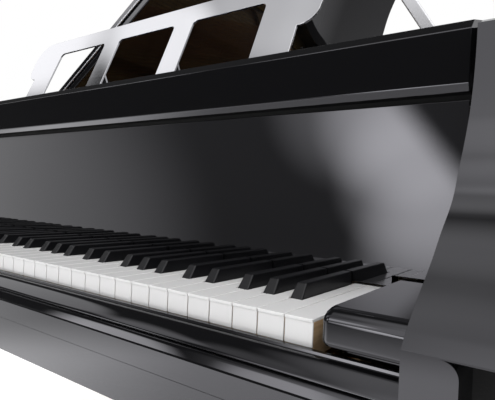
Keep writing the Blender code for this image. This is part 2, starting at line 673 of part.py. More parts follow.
def build_strings(case):
    """Treble strings, and above them the bass strings that cross them."""
    wall = offset(case_path(RIM_FRONT), RIM_THICKNESS)
    start = back(STRING_START)
    low, high = TREBLE_FIRST, CASE_HALF_WIDTH - TREBLE_SIDE_INSET
    places = [low + (high - low) * i / (TREBLE_COUNT - 1) for i in range(TREBLE_COUNT)]
    ends = [min(far_edge(wall, x) - TREBLE_END_MARGIN, CASE_LENGTH - TREBLE_TAIL_INSET) for x in places]
    level = [KEY_TOP + rise for rise in TREBLE_LEVEL]
    bar = (low - STRING_BAR_DEPTH, high + STRING_BAR_DEPTH)
    comb = wire_comb(places, TREBLE_WIRE, start, ends, 0.0, level, bar)
    place("treble_strings", comb, steel(), case)

    low, high = BASS_SIDE_INSET - CASE_HALF_WIDTH, BASS_LAST
    places = [low + (high - low) * i / (BASS_COUNT - 1) for i in range(BASS_COUNT)]
    level = [KEY_TOP + rise for rise in BASS_LEVEL]
    bar = (low - STRING_BAR_DEPTH, high + STRING_BAR_DEPTH)
    copper = surface("copper_winding", (0.6, 0.3, 0.15), 0.3, 1.0)
    ends = [CASE_LENGTH - BASS_TAIL_INSET] * BASS_COUNT
    comb = wire_comb(places, BASS_WIRE, start, ends, BASS_DRIFT, level, bar)
    place("bass_strings", comb, copper, case)


def castle(count, pitch, fill, root, tip):
    """The toothed side of a comb, in plan order from low to high x."""
    points = []
    for i in range(count):
        middle = (i - (count - 1) / 2) * pitch
        half = pitch * fill / 2
        points += [(middle - half, root), (middle - half, tip), (middle + half, tip), (middle + half, root)]
    return points


def build_dampers(case):
    """One damper over each string group up to the high treble, on one lifting rail."""
    low, high = (KEY_TOP + rise for rise in DAMPER_LEVEL)
    teeth = castle(DAMPER_COUNT, HAMMER_PITCH, DAMPER_FILL, low + DAMPER_FELT, low)
    outline = teeth + [(teeth[-1][0], high), (teeth[0][0], high)]
    shift = -(HAMMER_COUNT - DAMPER_COUNT) / 2 * HAMMER_PITCH
    comb = prism(outline, "y", *(back(depth) for depth in DAMPER_DEPTH))
    bmesh.ops.translate(comb, verts=comb.verts, vec=(shift, 0, 0))
    felt = surface("damper_felt", (0.05, 0.05, 0.05), 0.7)
    place("dampers", comb, felt, case, (0, back(DAMPER_DEPTH[0]), low))


def note_of(white):
    """The letter of a white key, counted from the bass."""
    return "ABCDEFG"[white % 7]


def has_black(white):
    """Whether a black key lies on the treble side of this white key."""
    return 0 <= white < WHITE_COUNT - 1 and note_of(white) in BLACK_SHIFT


def white_edge(index):
    """x of the line between white key index - 1 and white key index."""
    return (index - WHITE_COUNT / 2) * KEY_PITCH


def black_middle(white):
    return white_edge(white + 1) + BLACK_SHIFT[note_of(white)]


def white_key(index):
    """A white key with its head, its tail between the black keys, and its stick."""
    left = white_edge(index) + KEY_SPACE / 2
    right = white_edge(index + 1) - KEY_SPACE / 2
    reach = BLACK_WIDTH / 2 + BLACK_SIDE_SPACE
    head, front, end = back(WHITE_HEAD), back(0), back(KEY_LENGTH)
    outline = [(left, front), (right, front)]
    if has_black(index):
        tail = black_middle(index) - reach
        outline += [(right, head), (tail, head), (tail, end)]
    else:
        outline.append((right, end))
    if has_black(index - 1):
        tail = black_middle(index - 1) + reach
        outline += [(tail, end), (tail, head), (left, head)]
    else:
        outline.append((left, end))
    return prism(outline, "z", KEY_TOP - WHITE_DEPTH, KEY_TOP)


def black_key(white):
    """A black key: a tapered block with a sloping front, on its stick."""
    x = black_middle(white)
    front = back(WHITE_HEAD) + BLACK_FRONT_SPACE
    crest = box((x - BLACK_WIDTH / 2, front, KEY_TOP - BLACK_STICK_TOP),
                (x + BLACK_WIDTH / 2, back(FALLBOARD_FRONT - KEY_TO_FALLBOARD), KEY_TOP + BLACK_HEIGHT))
    middle_height = KEY_TOP + BLACK_HEIGHT / 2
    for vertex in crest.verts:
        if vertex.co.z > middle_height:
            vertex.co.x = x + (vertex.co.x - x) * BLACK_CREST_WIDTH / BLACK_WIDTH
            if vertex.co.y < back(FALLBOARD_FRONT - KEY_TO_FALLBOARD) - BLACK_SLOPE:
                vertex.co.y = front + BLACK_SLOPE
    stick = box((x - BLACK_STICK_WIDTH / 2, front + BLACK_STICK_SETBACK, KEY_TOP - BLACK_STICK_DEPTH),
                (x + BLACK_STICK_WIDTH / 2, back(KEY_LENGTH), KEY_TOP + BLACK_STICK_TOP))
    return combine(crest, [stick])


def build_keys(carriage):
    """The top octave as single keys, the others ganged by a bar over the balance rail."""
    ivory = surface("key_white", (0.86, 0.85, 0.83), 0.12)
    ebony = surface("key_black", (0.01, 0.01, 0.011), 0.25)
    pivot = (0, back(KEY_PIVOT_DEPTH), KEY_TOP - KEY_PIVOT_DROP)
    lower_whites = []
    lower_blacks = []
    blacks = 0
    for index in range(WHITE_COUNT):
        if index < LOWER_WHITE_COUNT:
            lower_whites.append(white_key(index))
        else:
            place(f"white_key_{index + 1}", white_key(index), ivory, carriage, pivot)
        if has_black(index):
            blacks += 1
            if index < LOWER_WHITE_COUNT:
                lower_blacks.append(black_key(index))
            else:
                place(f"black_key_{blacks}", black_key(index), ebony, carriage, pivot)

    near, far = back(KEY_PIVOT_DEPTH) - KEY_BAR_HALF, back(KEY_PIVOT_DEPTH) + KEY_BAR_HALF
    left = white_edge(0) + KEY_PITCH / 2
    right = white_edge(LOWER_WHITE_COUNT) - KEY_PITCH / 2
    white_bar = box((left, near, KEY_TOP - WHITE_BAR_DROP), (right, far, KEY_TOP - WHITE_DEPTH + KEY_SPACE))
    place("white_keys_lower", combine(white_bar, [gather(lower_whites)]), ivory, carriage, pivot)
    last_black = black_middle(LOWER_WHITE_COUNT - 2 if has_black(LOWER_WHITE_COUNT - 2)
                              else LOWER_WHITE_COUNT - 3)
    black_bar = box((black_middle(0), near, KEY_TOP + BAR_CLEARANCE),
                    (last_black, far, KEY_TOP + BLACK_BAR_RISE))
    place("black_keys_lower", combine(black_bar, [gather(lower_blacks)]), ebony, carriage, pivot)


def build_action(case):
    """The key frame, which slides under the soft pedal, with keys and hammers on it."""
    bottom = KEYBED_TOP + GAP
    floor = bottom + FRAME_THICKNESS
    balance = back(KEY_PIVOT_DEPTH)
    balance_top = KEY_TOP - WHITE_BAR_DROP - BAR_CLEARANCE
    end = back(KEY_LENGTH)
    rail_top = KEY_TOP - WHITE_DEPTH - GAP
    front_top = KEY_TOP - FRONT_RAIL_DROP
    profile = [(back(FRONT_RAIL[0]), bottom), (back(HAMMER_END), bottom),
               (back(HAMMER_END), floor), (end, floor), (end, rail_top),
               (end - BACK_RAIL_DEPTH, rail_top), (end - BACK_RAIL_DEPTH, floor),
               (balance + BALANCE_RAIL_HALF, floor), (balance + BALANCE_RAIL_HALF, balance_top),
               (balance - BALANCE_RAIL_HALF, balance_top), (balance - BALANCE_RAIL_HALF, floor),
               (back(FRONT_RAIL[1]), floor), (back(FRONT_RAIL[1]), front_top),
               (back(FRONT_RAIL[0]), front_top)]
    half = BLOCK_INSIDE - KEY_FRAME_SIDE_ROOM
    frame = place("key_frame", prism(profile, "x", -half, half), wood(), case, (0, back(0), bottom))

    low, high = (KEY_TOP + rise for rise in HAMMER_RAIL)
    teeth = castle(HAMMER_COUNT, HAMMER_PITCH, HAMMER_FILL, high, KEY_TOP + HAMMER_TOP)
    left, right = teeth[0][0], teeth[-1][0]
    spacing = (right - left - ACTION_POST_WIDTH) / (ACTION_POSTS - 1)
    posts = []
    for i in range(ACTION_POSTS):
        edge = right - i * spacing
        posts += [(edge, low), (edge, floor + GAP), (edge - ACTION_POST_WIDTH, floor + GAP),
                  (edge - ACTION_POST_WIDTH, low)]
    outline = teeth + posts[1:-1]
    hammers = prism(outline, "y", back(HAMMER_FRONT), back(HAMMER_END))
    felt = surface("hammer_felt", (0.8, 0.77, 0.7), 0.9)
    place("hammers", hammers, felt, frame)
    build_keys(frame)


def desk_outline():
    """The desk's plate laid flat: x across, second coordinate up the slope from the hinge."""
    half, lower, corner = DESK_HALF_WIDTH, DESK_LOWER_HALF_WIDTH, DESK_CORNER
    right = [(lower, DESK_FOOT)]
    right += arc((lower, DESK_STEP_HEIGHT + DESK_STEP_RADIUS), DESK_STEP_RADIUS, -90, 0, CORNER_STEPS)
    right += arc((half - corner, DESK_HEIGHT - corner), corner, 0, 90, CORNER_STEPS)
    return right + [(-x, u) for x, u in right[::-1]]


def desk_windows():
    """Three windows with rounded corners, side by side between mullions."""
    low, high = DESK_WINDOW
    r = DESK_WINDOW_CORNER
    loops = []
    for i in (-1, 0, 1):
        x = i * (2 * DESK_WINDOW_HALF + DESK_MULLION)
        w = DESK_WINDOW_HALF
        loops.append(arc((x + w - r, low + r), r, -90, 0, 2) + arc((x + w - r, high - r), r, 0, 90, 2)
                     + arc((x - w + r, high - r), r, 90, 180, 2) + arc((x - w + r, low + r), r, 180, 270, 2))
    return loops


def build_desk(case):
    """Shelf, tilting desk and the strut behind it, whose foot slides along the shelf."""
    room = CASE_HALF_WIDTH - RIM_THICKNESS - GAP
    place("music_shelf", box((-room, back(SHELF_FRONT), SHELF_TOP - SHELF_THICKNESS),
                             (room, back(SHELF_END), SHELF_TOP)), black_lacquer(), case)
    axis = Vector((0, back(DESK_HINGE_DEPTH), SHELF_TOP + GAP + STRUT_FOOT_RADIUS))
    plate = prism(desk_outline(), "z", *DESK_PLATE, desk_windows())
    bmesh.ops.translate(plate, verts=plate.verts, vec=axis)
    desk = place("music_desk", plate, steel(), case, axis, (math.radians(DESK_ANGLE), 0, 0))

    pivot = axis + Vector((0, STRUT_LENGTH, 0))
    foot = pivot + Vector((0, STRUT_LENGTH, 0))
    arm_place = DESK_WINDOW_HALF + DESK_MULLION / 2
    half, thick = STRUT_ARM[0] / 2, STRUT_ARM[1] / 2
    rod = cylinder(foot - Vector((arm_place + half, 0, 0)), foot + Vector((arm_place + half, 0, 0)),
                   STRUT_FOOT_RADIUS)
    arms = []
    for side in (-1, 1):
        middle = pivot + Vector((side * arm_place, 0, 0))
        arms.append(box(middle - Vector((half, thick, thick)),
                        middle + Vector((half, STRUT_LENGTH, thick))))
    place("desk_strut", combine(rod, arms), steel(), desk, pivot, (math.radians(-2 * DESK_ANGLE), 0, 0))


def build_lid(case):
    """Main lid on the bass side's hinge, with its flap folded back over it."""
    lid = empty("lid_pivot", case, LID_AXIS, (0, math.radians(-LID_OPEN), 0))
    path = case_path(RIM_FRONT)
    seam = back(FLAP_AXIS_DEPTH)
    edge = [(max(x, -CASE_HALF_WIDTH), y) for x, y in offset(path, -LID_OVERHANG)]
    main = prism(cut_at(edge, seam + FLAP_BARREL + GAP), "z", LID_BOTTOM, LID_BOTTOM + LID_THICKNESS)
    place("lid_main", main, black_lacquer(), lid)

    left, right = -CASE_HALF_WIDTH, CASE_HALF_WIDTH + LID_OVERHANG
    leaf_low = LID_BOTTOM + LID_THICKNESS + FLAP_LEAF_GAP
    flap_low = leaf_low + FLAP_LEAF[0] + GAP
    axis_height = leaf_low + FLAP_LEAF[0] / 2 + FLAP_LEAF_GAP / 2
    flap_near = seam + FLAP_BARREL + GAP
    flap = box((left, flap_near, flap_low), (right, flap_near + FLAP_DEPTH, flap_low + FLAP_THICKNESS))
    place("lid_flap", flap, black_lacquer(), lid, (0, seam, axis_height))
    inset = 2 * FLAP_BARREL
    barrel = cylinder((left + inset, seam, axis_height), (right - inset, seam, axis_height), FLAP_BARREL)
    leaf = box((left + inset, seam, leaf_low), (right - inset, seam + FLAP_LEAF[1], leaf_low + FLAP_LEAF[0]))
    place("flap_hinge", combine(barrel, [leaf]), steel(), lid)

    start, end = LID_HINGE_START, CASE_LENGTH - LID_HINGE_TAIL_INSET
    hinge = cylinder(LID_AXIS + Vector((0, start, 0)), LID_AXIS + Vector((0, end, 0)), LID_HINGE_RADIUS, DISC_SIDES)
    side_leaf = box((-CASE_HALF_WIDTH - GAP - LID_HINGE_LEAF[0], start, LID_AXIS.z - LID_HINGE_LEAF[1]),
                    (-CASE_HALF_WIDTH - GAP, end, LID_AXIS.z))
    place("lid_hinge", combine(hinge, [side_leaf]), brass(), case)
    build_prop(case, lid)


def build_prop(case, lid):
    """Prop, its bracket on the rim and its seat on the lid.

    The prop stands square to the open lid and turns in a plane just in front of the
    main lid's front edge, so that it can fold down across the case as the lid shuts.
    """
    angle = math.radians(LID_OPEN)
    foot_x = CASE_HALF_WIDTH - PROP_FOOT_INSET
    foot_z = CASE_TOP - PROP_FOOT_DROP
    near, far = back(PROP_FRONT), back(PROP_FRONT + PROP_THICKNESS)
    across, below = foot_x - LID_AXIS.x, LID_AXIS.z - foot_z
    length = across * math.sin(angle) + below * math.cos(angle) - LID_HINGE_RISE - GAP
    half = PROP_WIDTH / 2
    outline = arc((foot_x, foot_z), half, -90, 90, CORNER_STEPS)
    outline += [(foot_x - length, foot_z + half), (foot_x - length, foot_z - half)]
    fold = math.radians(90 - LID_OPEN)
    prop = prism(outline, "y", near, far)
    place("lid_prop", prop, steel(), case, (foot_x, (near + far) / 2, foot_z), (0, fold, 0))

    bracket = box((foot_x - PROP_BRACKET[0], far + GAP, foot_z - PROP_BRACKET[1]),
                  (CASE_HALF_WIDTH - RIM_THICKNESS - GAP, far + GAP + PROP_BRACKET[0], foot_z + PROP_BRACKET[1]))
    place("prop_bracket", bracket, steel(), case)

    along = across * math.cos(angle) - below * math.sin(angle)
    seat_x = LID_AXIS.x + along + half + GAP
    top = LID_BOTTOM - GAP
    seat = box((seat_x, near, top - PROP_SEAT[1]), (seat_x + PROP_SEAT[0], near + PROP_SEAT_LENGTH, top))
    place("lid_prop_seat", seat, steel(), lid)


def build_leg(case, name):
    """A tapered square leg with a block at its top, and its caster."""
    x, y = LEG_PLACES[name]
    top = CASE_BOTTOM - GAP
    foot = CASTER_HEIGHT + GAP
    shaft = box((x - LEG_FOOT_WIDTH / 2, y - LEG_FOOT_WIDTH / 2, foot),
                (x + LEG_FOOT_WIDTH / 2, y + LEG_FOOT_WIDTH / 2, top - LEG_BLOCK / 2))
    spread = (LEG_TOP_WIDTH - 2 * LEG_SHOULDER) / LEG_FOOT_WIDTH
    for vertex in shaft.verts:
        if vertex.co.z > top / 2:
            vertex.co.x = x + (vertex.co.x - x) * spread
            vertex.co.y = y + (vertex.co.y - y) * spread
    block = box((x - LEG_TOP_WIDTH / 2, y - LEG_TOP_WIDTH / 2, top - LEG_BLOCK),
                (x + LEG_TOP_WIDTH / 2, y + LEG_TOP_WIDTH / 2, top))
    place(f"leg_{name}", combine(shaft, [block]), black_lacquer(), case)
    build_caster(case, name, x, y)


def build_caster(case, name, x, y):
    """Swivelling fork and wheel, the axle trailing behind the swivel."""
    axle_height = WHEEL_RADIUS * math.cos(math.pi / WHEEL_SIDES)
    slot = WHEEL_WIDTH / 2 + GAP
    outer = slot + FORK_WALL
    crown = CASTER_HEIGHT - CASTER_PLATE
    fork = [(x - outer, FORK_BOTTOM), (x - slot, FORK_BOTTOM), (x - slot, crown), (x + slot, crown),
            (x + slot, FORK_BOTTOM), (x + outer, FORK_BOTTOM), (x + outer, CASTER_HEIGHT - GAP),
            (x - outer, CASTER_HEIGHT - GAP)]
    trail = y + CASTER_TRAIL
    cheeks = prism(fork, "y", trail - FORK_LENGTH / 2, trail + FORK_LENGTH / 2)
    plate = cylinder((x, y, crown), (x, y, CASTER_HEIGHT), CASTER_PLATE_RADIUS, DISC_SIDES)
    turn = (0, 0, math.radians(CASTER_TURNS[name]))
    swivel = place(f"caster_fork_{name}", combine(plate, [cheeks]), brass(), case, (x, y, crown), turn)
    wheel = cylinder((x - WHEEL_WIDTH / 2, trail, axle_height), (x + WHEEL_WIDTH / 2, trail, axle_height),
                     WHEEL_RADIUS, WHEEL_SIDES, math.pi / WHEEL_SIDES)
    place(f"caster_wheel_{name}", wheel, brass(), swivel, (x, trail, axle_height))


def build_lyre(case):
    """Pedal lyre under the keybed, its box with three pedals, and its rear brace."""
    top = CASE_BOTTOM - GAP
    near, far = LYRE_DEPTH
    head = box((-LYRE_HALF_WIDTH, near, top - LYRE_HEAD), (LYRE_HALF_WIDTH, far, top))
    box_top = PEDAL_BOX_HEIGHT[1]
    middle = (near + far) / 2
    columns = []
    for side in (-1, 1):
        x = side * LYRE_COLUMN_PLACE
        half = LYRE_COLUMN / 2
        columns.append(box((x - half, middle - half, box_top + GAP), (x + half, middle + half, top - LYRE_HEAD / 2)))
    place("lyre_frame", combine(head, columns), black_lacquer(), case)

    housing = box((-PEDAL_BOX_HALF_WIDTH, PEDAL_BOX_DEPTH[0], PEDAL_BOX_HEIGHT[0]),
                  (PEDAL_BOX_HALF_WIDTH, PEDAL_BOX_DEPTH[1], box_top))
    slot_end = PEDAL_PIVOT[0] + 2 * PEDAL_AXLE_RADIUS
    slots = []
    for i, name in enumerate(("left", "middle", "right")):
        x = (i - 1) * PEDAL_PITCH
        slots.append(box((x - PEDAL_SLOT / 2, PEDAL_BOX_DEPTH[0] - PEDAL_SLOT, PEDAL_SLOT_HEIGHT[0]),
                         (x + PEDAL_SLOT / 2, slot_end, PEDAL_SLOT_HEIGHT[1])))
        build_pedal(case, f"pedal_{name}", x)
    place("pedal_box", combine(housing, slots, "DIFFERENCE"), black_lacquer(), case)

    rods = []
    head_z = top - BRACE_ROD
    for side in (-1, 1):
        start = (side * BRACE_FOOT[0], PEDAL_BOX_DEPTH[1] + GAP + BRACE_ROD, BRACE_FOOT[1])
        rods.append(cylinder(start, (side * 2 * BRACE_ROD, BRACE_HEAD_DEPTH, head_z - BRACE_ROD),
                             BRACE_ROD, ROD_SIDES))
    foot = box((-BRACE_FOOT[0] - BRACE_ROD, PEDAL_BOX_DEPTH[1] + GAP, BRACE_FOOT[1] - BRACE_ROD),
               (BRACE_FOOT[0] + BRACE_ROD, PEDAL_BOX_DEPTH[1] + GAP + 2 * BRACE_ROD, BRACE_FOOT[1] + BRACE_ROD))
    pad = box((-4 * BRACE_ROD, BRACE_HEAD_DEPTH - 3 * BRACE_ROD, top - 3 * BRACE_ROD),
              (4 * BRACE_ROD, BRACE_HEAD_DEPTH + 3 * BRACE_ROD, top))
    place("lyre_brace", combine(pad, [rods[0], rods[1], foot]), brass(), case)


def build_pedal(case, name, x):
    """A pedal lever with its axle at the back of the box and a rounded toe in front."""
    y, z = PEDAL_PIVOT
    half = PEDAL_WIDTH / 2
    toe = y - PEDAL_REACH
    outline = [(x + half, y), (x - half, y)]
    outline += arc((x, toe + half), PEDAL_TOE_RADIUS, *PEDAL_TOE_SWEEP, CORNER_STEPS)
    lever = prism(outline, "z", z - PEDAL_THICKNESS / 2, z + PEDAL_THICKNESS / 2)
    reach = PEDAL_SLOT / 2 - GAP
    axle = cylinder((x - reach, y, z), (x + reach, y, z), PEDAL_AXLE_RADIUS)
    place(name, combine(lever, [axle]), brass(), case, (x, y, z))


def stand_on_origin(case):
    """Move the carrying empty so that the middle of the piano's floor area is the origin."""
    bpy.context.view_layer.update()
    corners = []
    for obj in piano.objects:
        if obj.type == "MESH":
            corners += [obj.matrix_world @ vertex.co for vertex in obj.data.vertices]
    for axis in range(2):
        values = [corner[axis] for corner in corners]
        case.location[axis] -= (min(values) + max(values)) / 2
    case.location.z -= min(corner.z for corner in corners)
    bpy.context.view_layer.update()


def build_piano():
    global piano
    clear_scene()
    piano = bpy.data.collections.new("grand_piano")
    bpy.context.scene.collection.children.link(piano)
    case = empty("piano")
    build_rim(case)
    build_arm(case, "arm_bass", -1)
    build_arm(case, "arm_treble", 1)
    build_front(case)
    build_fallboard(case)
    build_sounding_parts(case)
    build_strings(case)
    build_dampers(case)
    build_action(case)
    build_desk(case)
    build_lid(case)
    for name in LEG_PLACES:
        build_leg(case, name)
    build_lyre(case)
    stand_on_origin(case)


build_piano()
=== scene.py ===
"""Looks of the grand piano: lacquer, steel, keys, strings and the studio round them.

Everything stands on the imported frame. Places that the frame gives are read from it, and
the other sizes are the named values below, in metres where no comment says otherwise.
"""
import json
import math

import bmesh
import bpy
from mathutils import Matrix, Vector


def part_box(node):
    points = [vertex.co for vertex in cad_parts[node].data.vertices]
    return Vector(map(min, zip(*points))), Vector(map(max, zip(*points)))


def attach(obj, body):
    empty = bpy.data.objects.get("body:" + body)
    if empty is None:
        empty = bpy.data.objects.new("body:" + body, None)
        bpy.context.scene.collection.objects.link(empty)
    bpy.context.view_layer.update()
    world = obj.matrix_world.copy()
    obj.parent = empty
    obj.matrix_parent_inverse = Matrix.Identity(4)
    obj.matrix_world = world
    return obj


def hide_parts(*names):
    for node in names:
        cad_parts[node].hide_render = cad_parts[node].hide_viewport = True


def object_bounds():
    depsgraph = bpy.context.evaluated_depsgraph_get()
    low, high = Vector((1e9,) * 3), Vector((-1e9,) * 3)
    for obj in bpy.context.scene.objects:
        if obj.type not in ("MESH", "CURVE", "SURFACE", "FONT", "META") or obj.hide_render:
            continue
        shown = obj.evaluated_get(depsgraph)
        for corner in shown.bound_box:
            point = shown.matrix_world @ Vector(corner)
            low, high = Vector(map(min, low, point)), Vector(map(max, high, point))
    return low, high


MM = 0.001


def mm(*groups):
    """Places, or other groups of sizes, from millimetres."""
    return [tuple(value * MM for value in group) for group in groups]


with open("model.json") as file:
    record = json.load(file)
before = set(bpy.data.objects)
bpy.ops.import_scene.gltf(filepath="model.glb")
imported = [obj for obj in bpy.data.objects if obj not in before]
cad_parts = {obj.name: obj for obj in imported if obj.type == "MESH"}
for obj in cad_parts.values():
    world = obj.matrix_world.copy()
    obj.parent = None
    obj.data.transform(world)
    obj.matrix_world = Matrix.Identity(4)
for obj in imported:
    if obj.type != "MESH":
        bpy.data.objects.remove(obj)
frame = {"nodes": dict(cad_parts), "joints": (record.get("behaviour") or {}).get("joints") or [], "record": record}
cad_low, cad_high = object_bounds()
joints = {joint["name"]: joint for joint in frame["joints"]}
slots = {row["node"]: row["material_slot"] for row in frame["record"]["subparts"]}
body_of = {node: body for body, nodes in frame["record"]["behaviour"]["bodies"].items() for node in nodes}

WELD = 0.02 * MM
SKIN = 0.05 * MM  # least space between a piece and what it lies on
BEYOND = 50 * MM  # how far a cutting tool reaches past what it cuts
FLAT_TURN = math.radians(0.4)  # faces that turn less than this are one flat face
SOFT_TURN = math.radians(24)  # an outline's corner sharper than this stays a corner
LONG_RUN = 0.15  # an outline's straight run longer than this stays straight

# Rounding of the nodes' edges, in millimetres, and its steps, by how their names start.
EDGES = {
    "white_key": (0.45, 3), "black_key": (1.5, 5), "key_frame": (1.5, 3), "key_slip": (0.35, 2),
    "keybed": (0.4, 3), "key_block": (0.2, 2), "arm": (2.4, 4), "front_beam": (0.7, 3),
    "fallboard": (1.6, 4), "music_desk": (1.5, 3), "desk_strut": (0.4, 3), "music_shelf": (1.2, 3),
    "lid_prop_seat": (1.2, 4), "lid_prop": (2.4, 4), "lid_hinge": (0.4, 2), "lid": (3.5, 5),
    "flap_hinge": (0.35, 2), "prop_bracket": (1.5, 4), "rim": (2.0, 3), "inner_rim": (0.6, 3),
    "soundboard": (0.6, 3), "case_braces": (2.0, 3), "wrest_plank": (0.8, 3),
    "string_bridge": (1.2, 3), "iron_plate": (2.2, 3), "treble_strings": (0.8, 2),
    "bass_strings": (0.8, 2), "dampers": (1.0, 2), "hammers": None, "leg": (2.5, 4),
    "caster_fork": (1.4, 3), "caster_wheel": (0.5, 2), "lyre_frame": (3.0, 5),
    "pedal_box": (2.5, 4), "lyre_brace": (0.8, 3), "pedal": (3.2, 5),
}
RIB_EDGE = (4.0, 4)
AGRAFFE_EDGE = (0.8, 2)
FERRULE_EDGE = (1.8, 4)
SLOT_PLATE_EDGE = (0.5, 2)

# The camera, from the right end of the last white key's front top edge.
CAMERA_PLACE = Vector((146.05 * MM, -285.8 * MM, 82.3 * MM))
CAMERA_YAW = math.radians(35.767)
CAMERA_PITCH = math.radians(-0.403)
CAMERA_ROLL = math.radians(2.424)
CAMERA_LENS = 33.75
CAMERA_NEAR = 0.01

# Keyboard
WHITE_COUNT = 52
KEY_SPACE = 1.0 * MM
KEY_FACE = 20 * MM  # height of the white keys' fronts
WHITE_COVER = 2.5 * MM  # thickness of the white keys' covering
WHITE_LIP = 0.8 * MM  # how far the covering stands over the key's front
WHITE_FRONT = 1.6 * MM
WHITE_SHOW = 162 * MM  # length of the covering
WHITE_STICK = 27 * MM  # how far the sticks reach under the white keys' tops
BLACK_BASE_HALF = 6 * MM
BLACK_SLOPE = 10 * MM
BLACK_SKIRT = 1.5 * MM  # how far a sharp's block reaches below the white keys' tops
BLACK_STICK = 24 * MM
BLACK_STICK_TAIL = 230 * MM  # how far a black key's stick goes on behind its block
BLACK_STICK_INSET = (1 * MM, 2 * MM)  # at each side and at the front of its block
RAIL_FELT = mm((20, 4, -39.9), (-20, 35, -38.6))  # from the key frame's ends, keys' front and tops

last_low, last_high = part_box("white_key_52")
KEY_PITCH = last_low.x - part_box("white_key_51")[0].x
KEY_TOP = last_high.z
KEY_FRONT = last_low.y
KEY_CORNER = Vector((last_high.x + KEY_SPACE / 2, KEY_FRONT, KEY_TOP))
KEYBOARD_MIDDLE = KEY_CORNER.x - WHITE_COUNT / 2 * KEY_PITCH

# Front of the case: depths behind the white keys' front edge, heights over their tops.
# The key slip's moulding is a bar with a round nose over a sloping band.
SLIP_TOP = mm((-2.5, -19), (-5.5, -19.4))
SLIP_BAR = mm((-6, -21.2), (-9, -21.4), (-14, -24), (-23.6, -31.6), (-22.6, -32.8), (-17, -33))
SLIP_BAND = mm((-17, -33.2), (-21.6, -33.9), (-26.8, -41.7))
SLIP_PANEL = mm((-28.6, -42.5), (-28.6, -60.9))
# The key blocks' height, inset of the front and of the keyboard's side; the first two are a foot.
BLOCK_BANDS = mm(
    (-19.6, 14, 16), (-13.4, 14, 16), (-13.2, 3.9, 10), (-12.6, 3.3, 8.3), (-11.5, 3, 7.2),
    (-10, 3, 6.6), (-9, 3, 6.5), (1.8, 3, 6.5), (2.6, 3, 6.5), (3.8, 3.3, 6.5), (6, 4.4, 6.8),
    (8.4, 6.8, 7.6), (10.2, 10, 8.6), (11.1, 12.8, 9.5), (11.5, 15, 10.3), (11.5, 16, 11.2))
BLOCK_FRONT = -12 * MM
BLOCK_CORNER = 6 * MM
ARM_FOOT = 50 * MM  # the arm's front curve starts lower than this under the keys
ARM_BEVEL = mm((145.5, 238.6), (168, 248))  # slope at the arm's top front edge
ARM_RECESS = 30 * MM  # from the arm's inner face
ARM_RECESS_DEPTH = 40 * MM
ARM_RECESS_TOP = 2 * MM
ARM_NOSE_CORNER = 9 * MM
ARM_SHADE_SHEET = (0.6 * MM, 1 * MM, 2 * MM)  # painted shade: a black sheet on the recess's back wall; thickness, inset at foot and top, inset outside
BEAM_BANDS = [(0, 3.5 * MM), (0.106, 0), (0.833, 0), (1, 12 * MM)]  # share of the height, inset
BEAM_END = 6 * MM
BEAM_FELT = (10 * MM, 10 * MM, 5.2 * MM)  # from the beam's back, depth, height

# Desk, in its own plane: across, and up the slope from its hinge.
DESK_HALF_WIDTH = 419 * MM
DESK_LOWER_HALF_WIDTH = 381 * MM
DESK_FOOT = -5.4 * MM
DESK_HEIGHT = 232 * MM
DESK_STEP_HEIGHT = 122 * MM
DESK_STEP_RADIUS = 35 * MM
DESK_CORNER = 50 * MM
DESK_FACES = (4.2 * MM, 8.2 * MM)
DESK_WINDOW_HALF = 85 * MM
DESK_MULLION = 50 * MM
DESK_WINDOW = (28 * MM, 189 * MM)
DESK_WINDOW_CORNER = 10 * MM
DESK_HINGES = (-300 * MM, 0, 300 * MM)
DESK_KNUCKLES = 3  # in each hinge
DESK_KNUCKLE = (16 * MM, 0.6 * MM, 3.1 * MM)  # pitch, space between two, radius

# Lid, its hinges and its prop
KNUCKLE_PITCH = 26 * MM
KNUCKLE_SPACE = 0.7 * MM
HINGE_PIN = 0.6  # the pin's radius, as a share of the knuckles'
FLAP_KNUCKLE = 3 * MM
FLAP_LEAF_HALF = 0.42 * MM
LID_KNUCKLE = 5.4 * MM
LID_LEAF = 1.7 * MM
LID_SCREW_RISE = 18 * MM
LID_SCREW = mm((4, 0), (3.2, 0.9), (1, 1.3))  # turned profiles: radius, height
PROP_SCREW = mm((7, 0), (7, 2), (5.6, 3.6), (2, 4.2))
BUMPER = mm((9, 0), (9, -0.3), (8, -0.5))
# Bumpers' places from the lid's treble side, and from its front or, where negative, its tail.
BUMPER_PLACES = mm((-40, 120), (-300, 660), (-930, -60))

# Iron plate
STRUT_WIDTH = (25 * MM, 35 * MM)  # a strut's web is between these
RIB_HALF = 7 * MM
RIB_RISE = 24 * MM
RIB_START = 12 * MM  # behind the dampers
RIB_END = 40 * MM  # before the rim's wall
RIB_SLOPES = (30 * MM, 60 * MM)  # length of a rib's slopes at its start and end
WALL_STEP = 5 * MM  # the soundboard's front edge is straight within this
BOLT = mm((11, 0), (11, 1.5), (8, 2.2), (7.4, 7.5), (5, 9))
BOLT_INSET = 27 * MM
BOLT_PITCH = 190 * MM
BOLT_START = 60 * MM

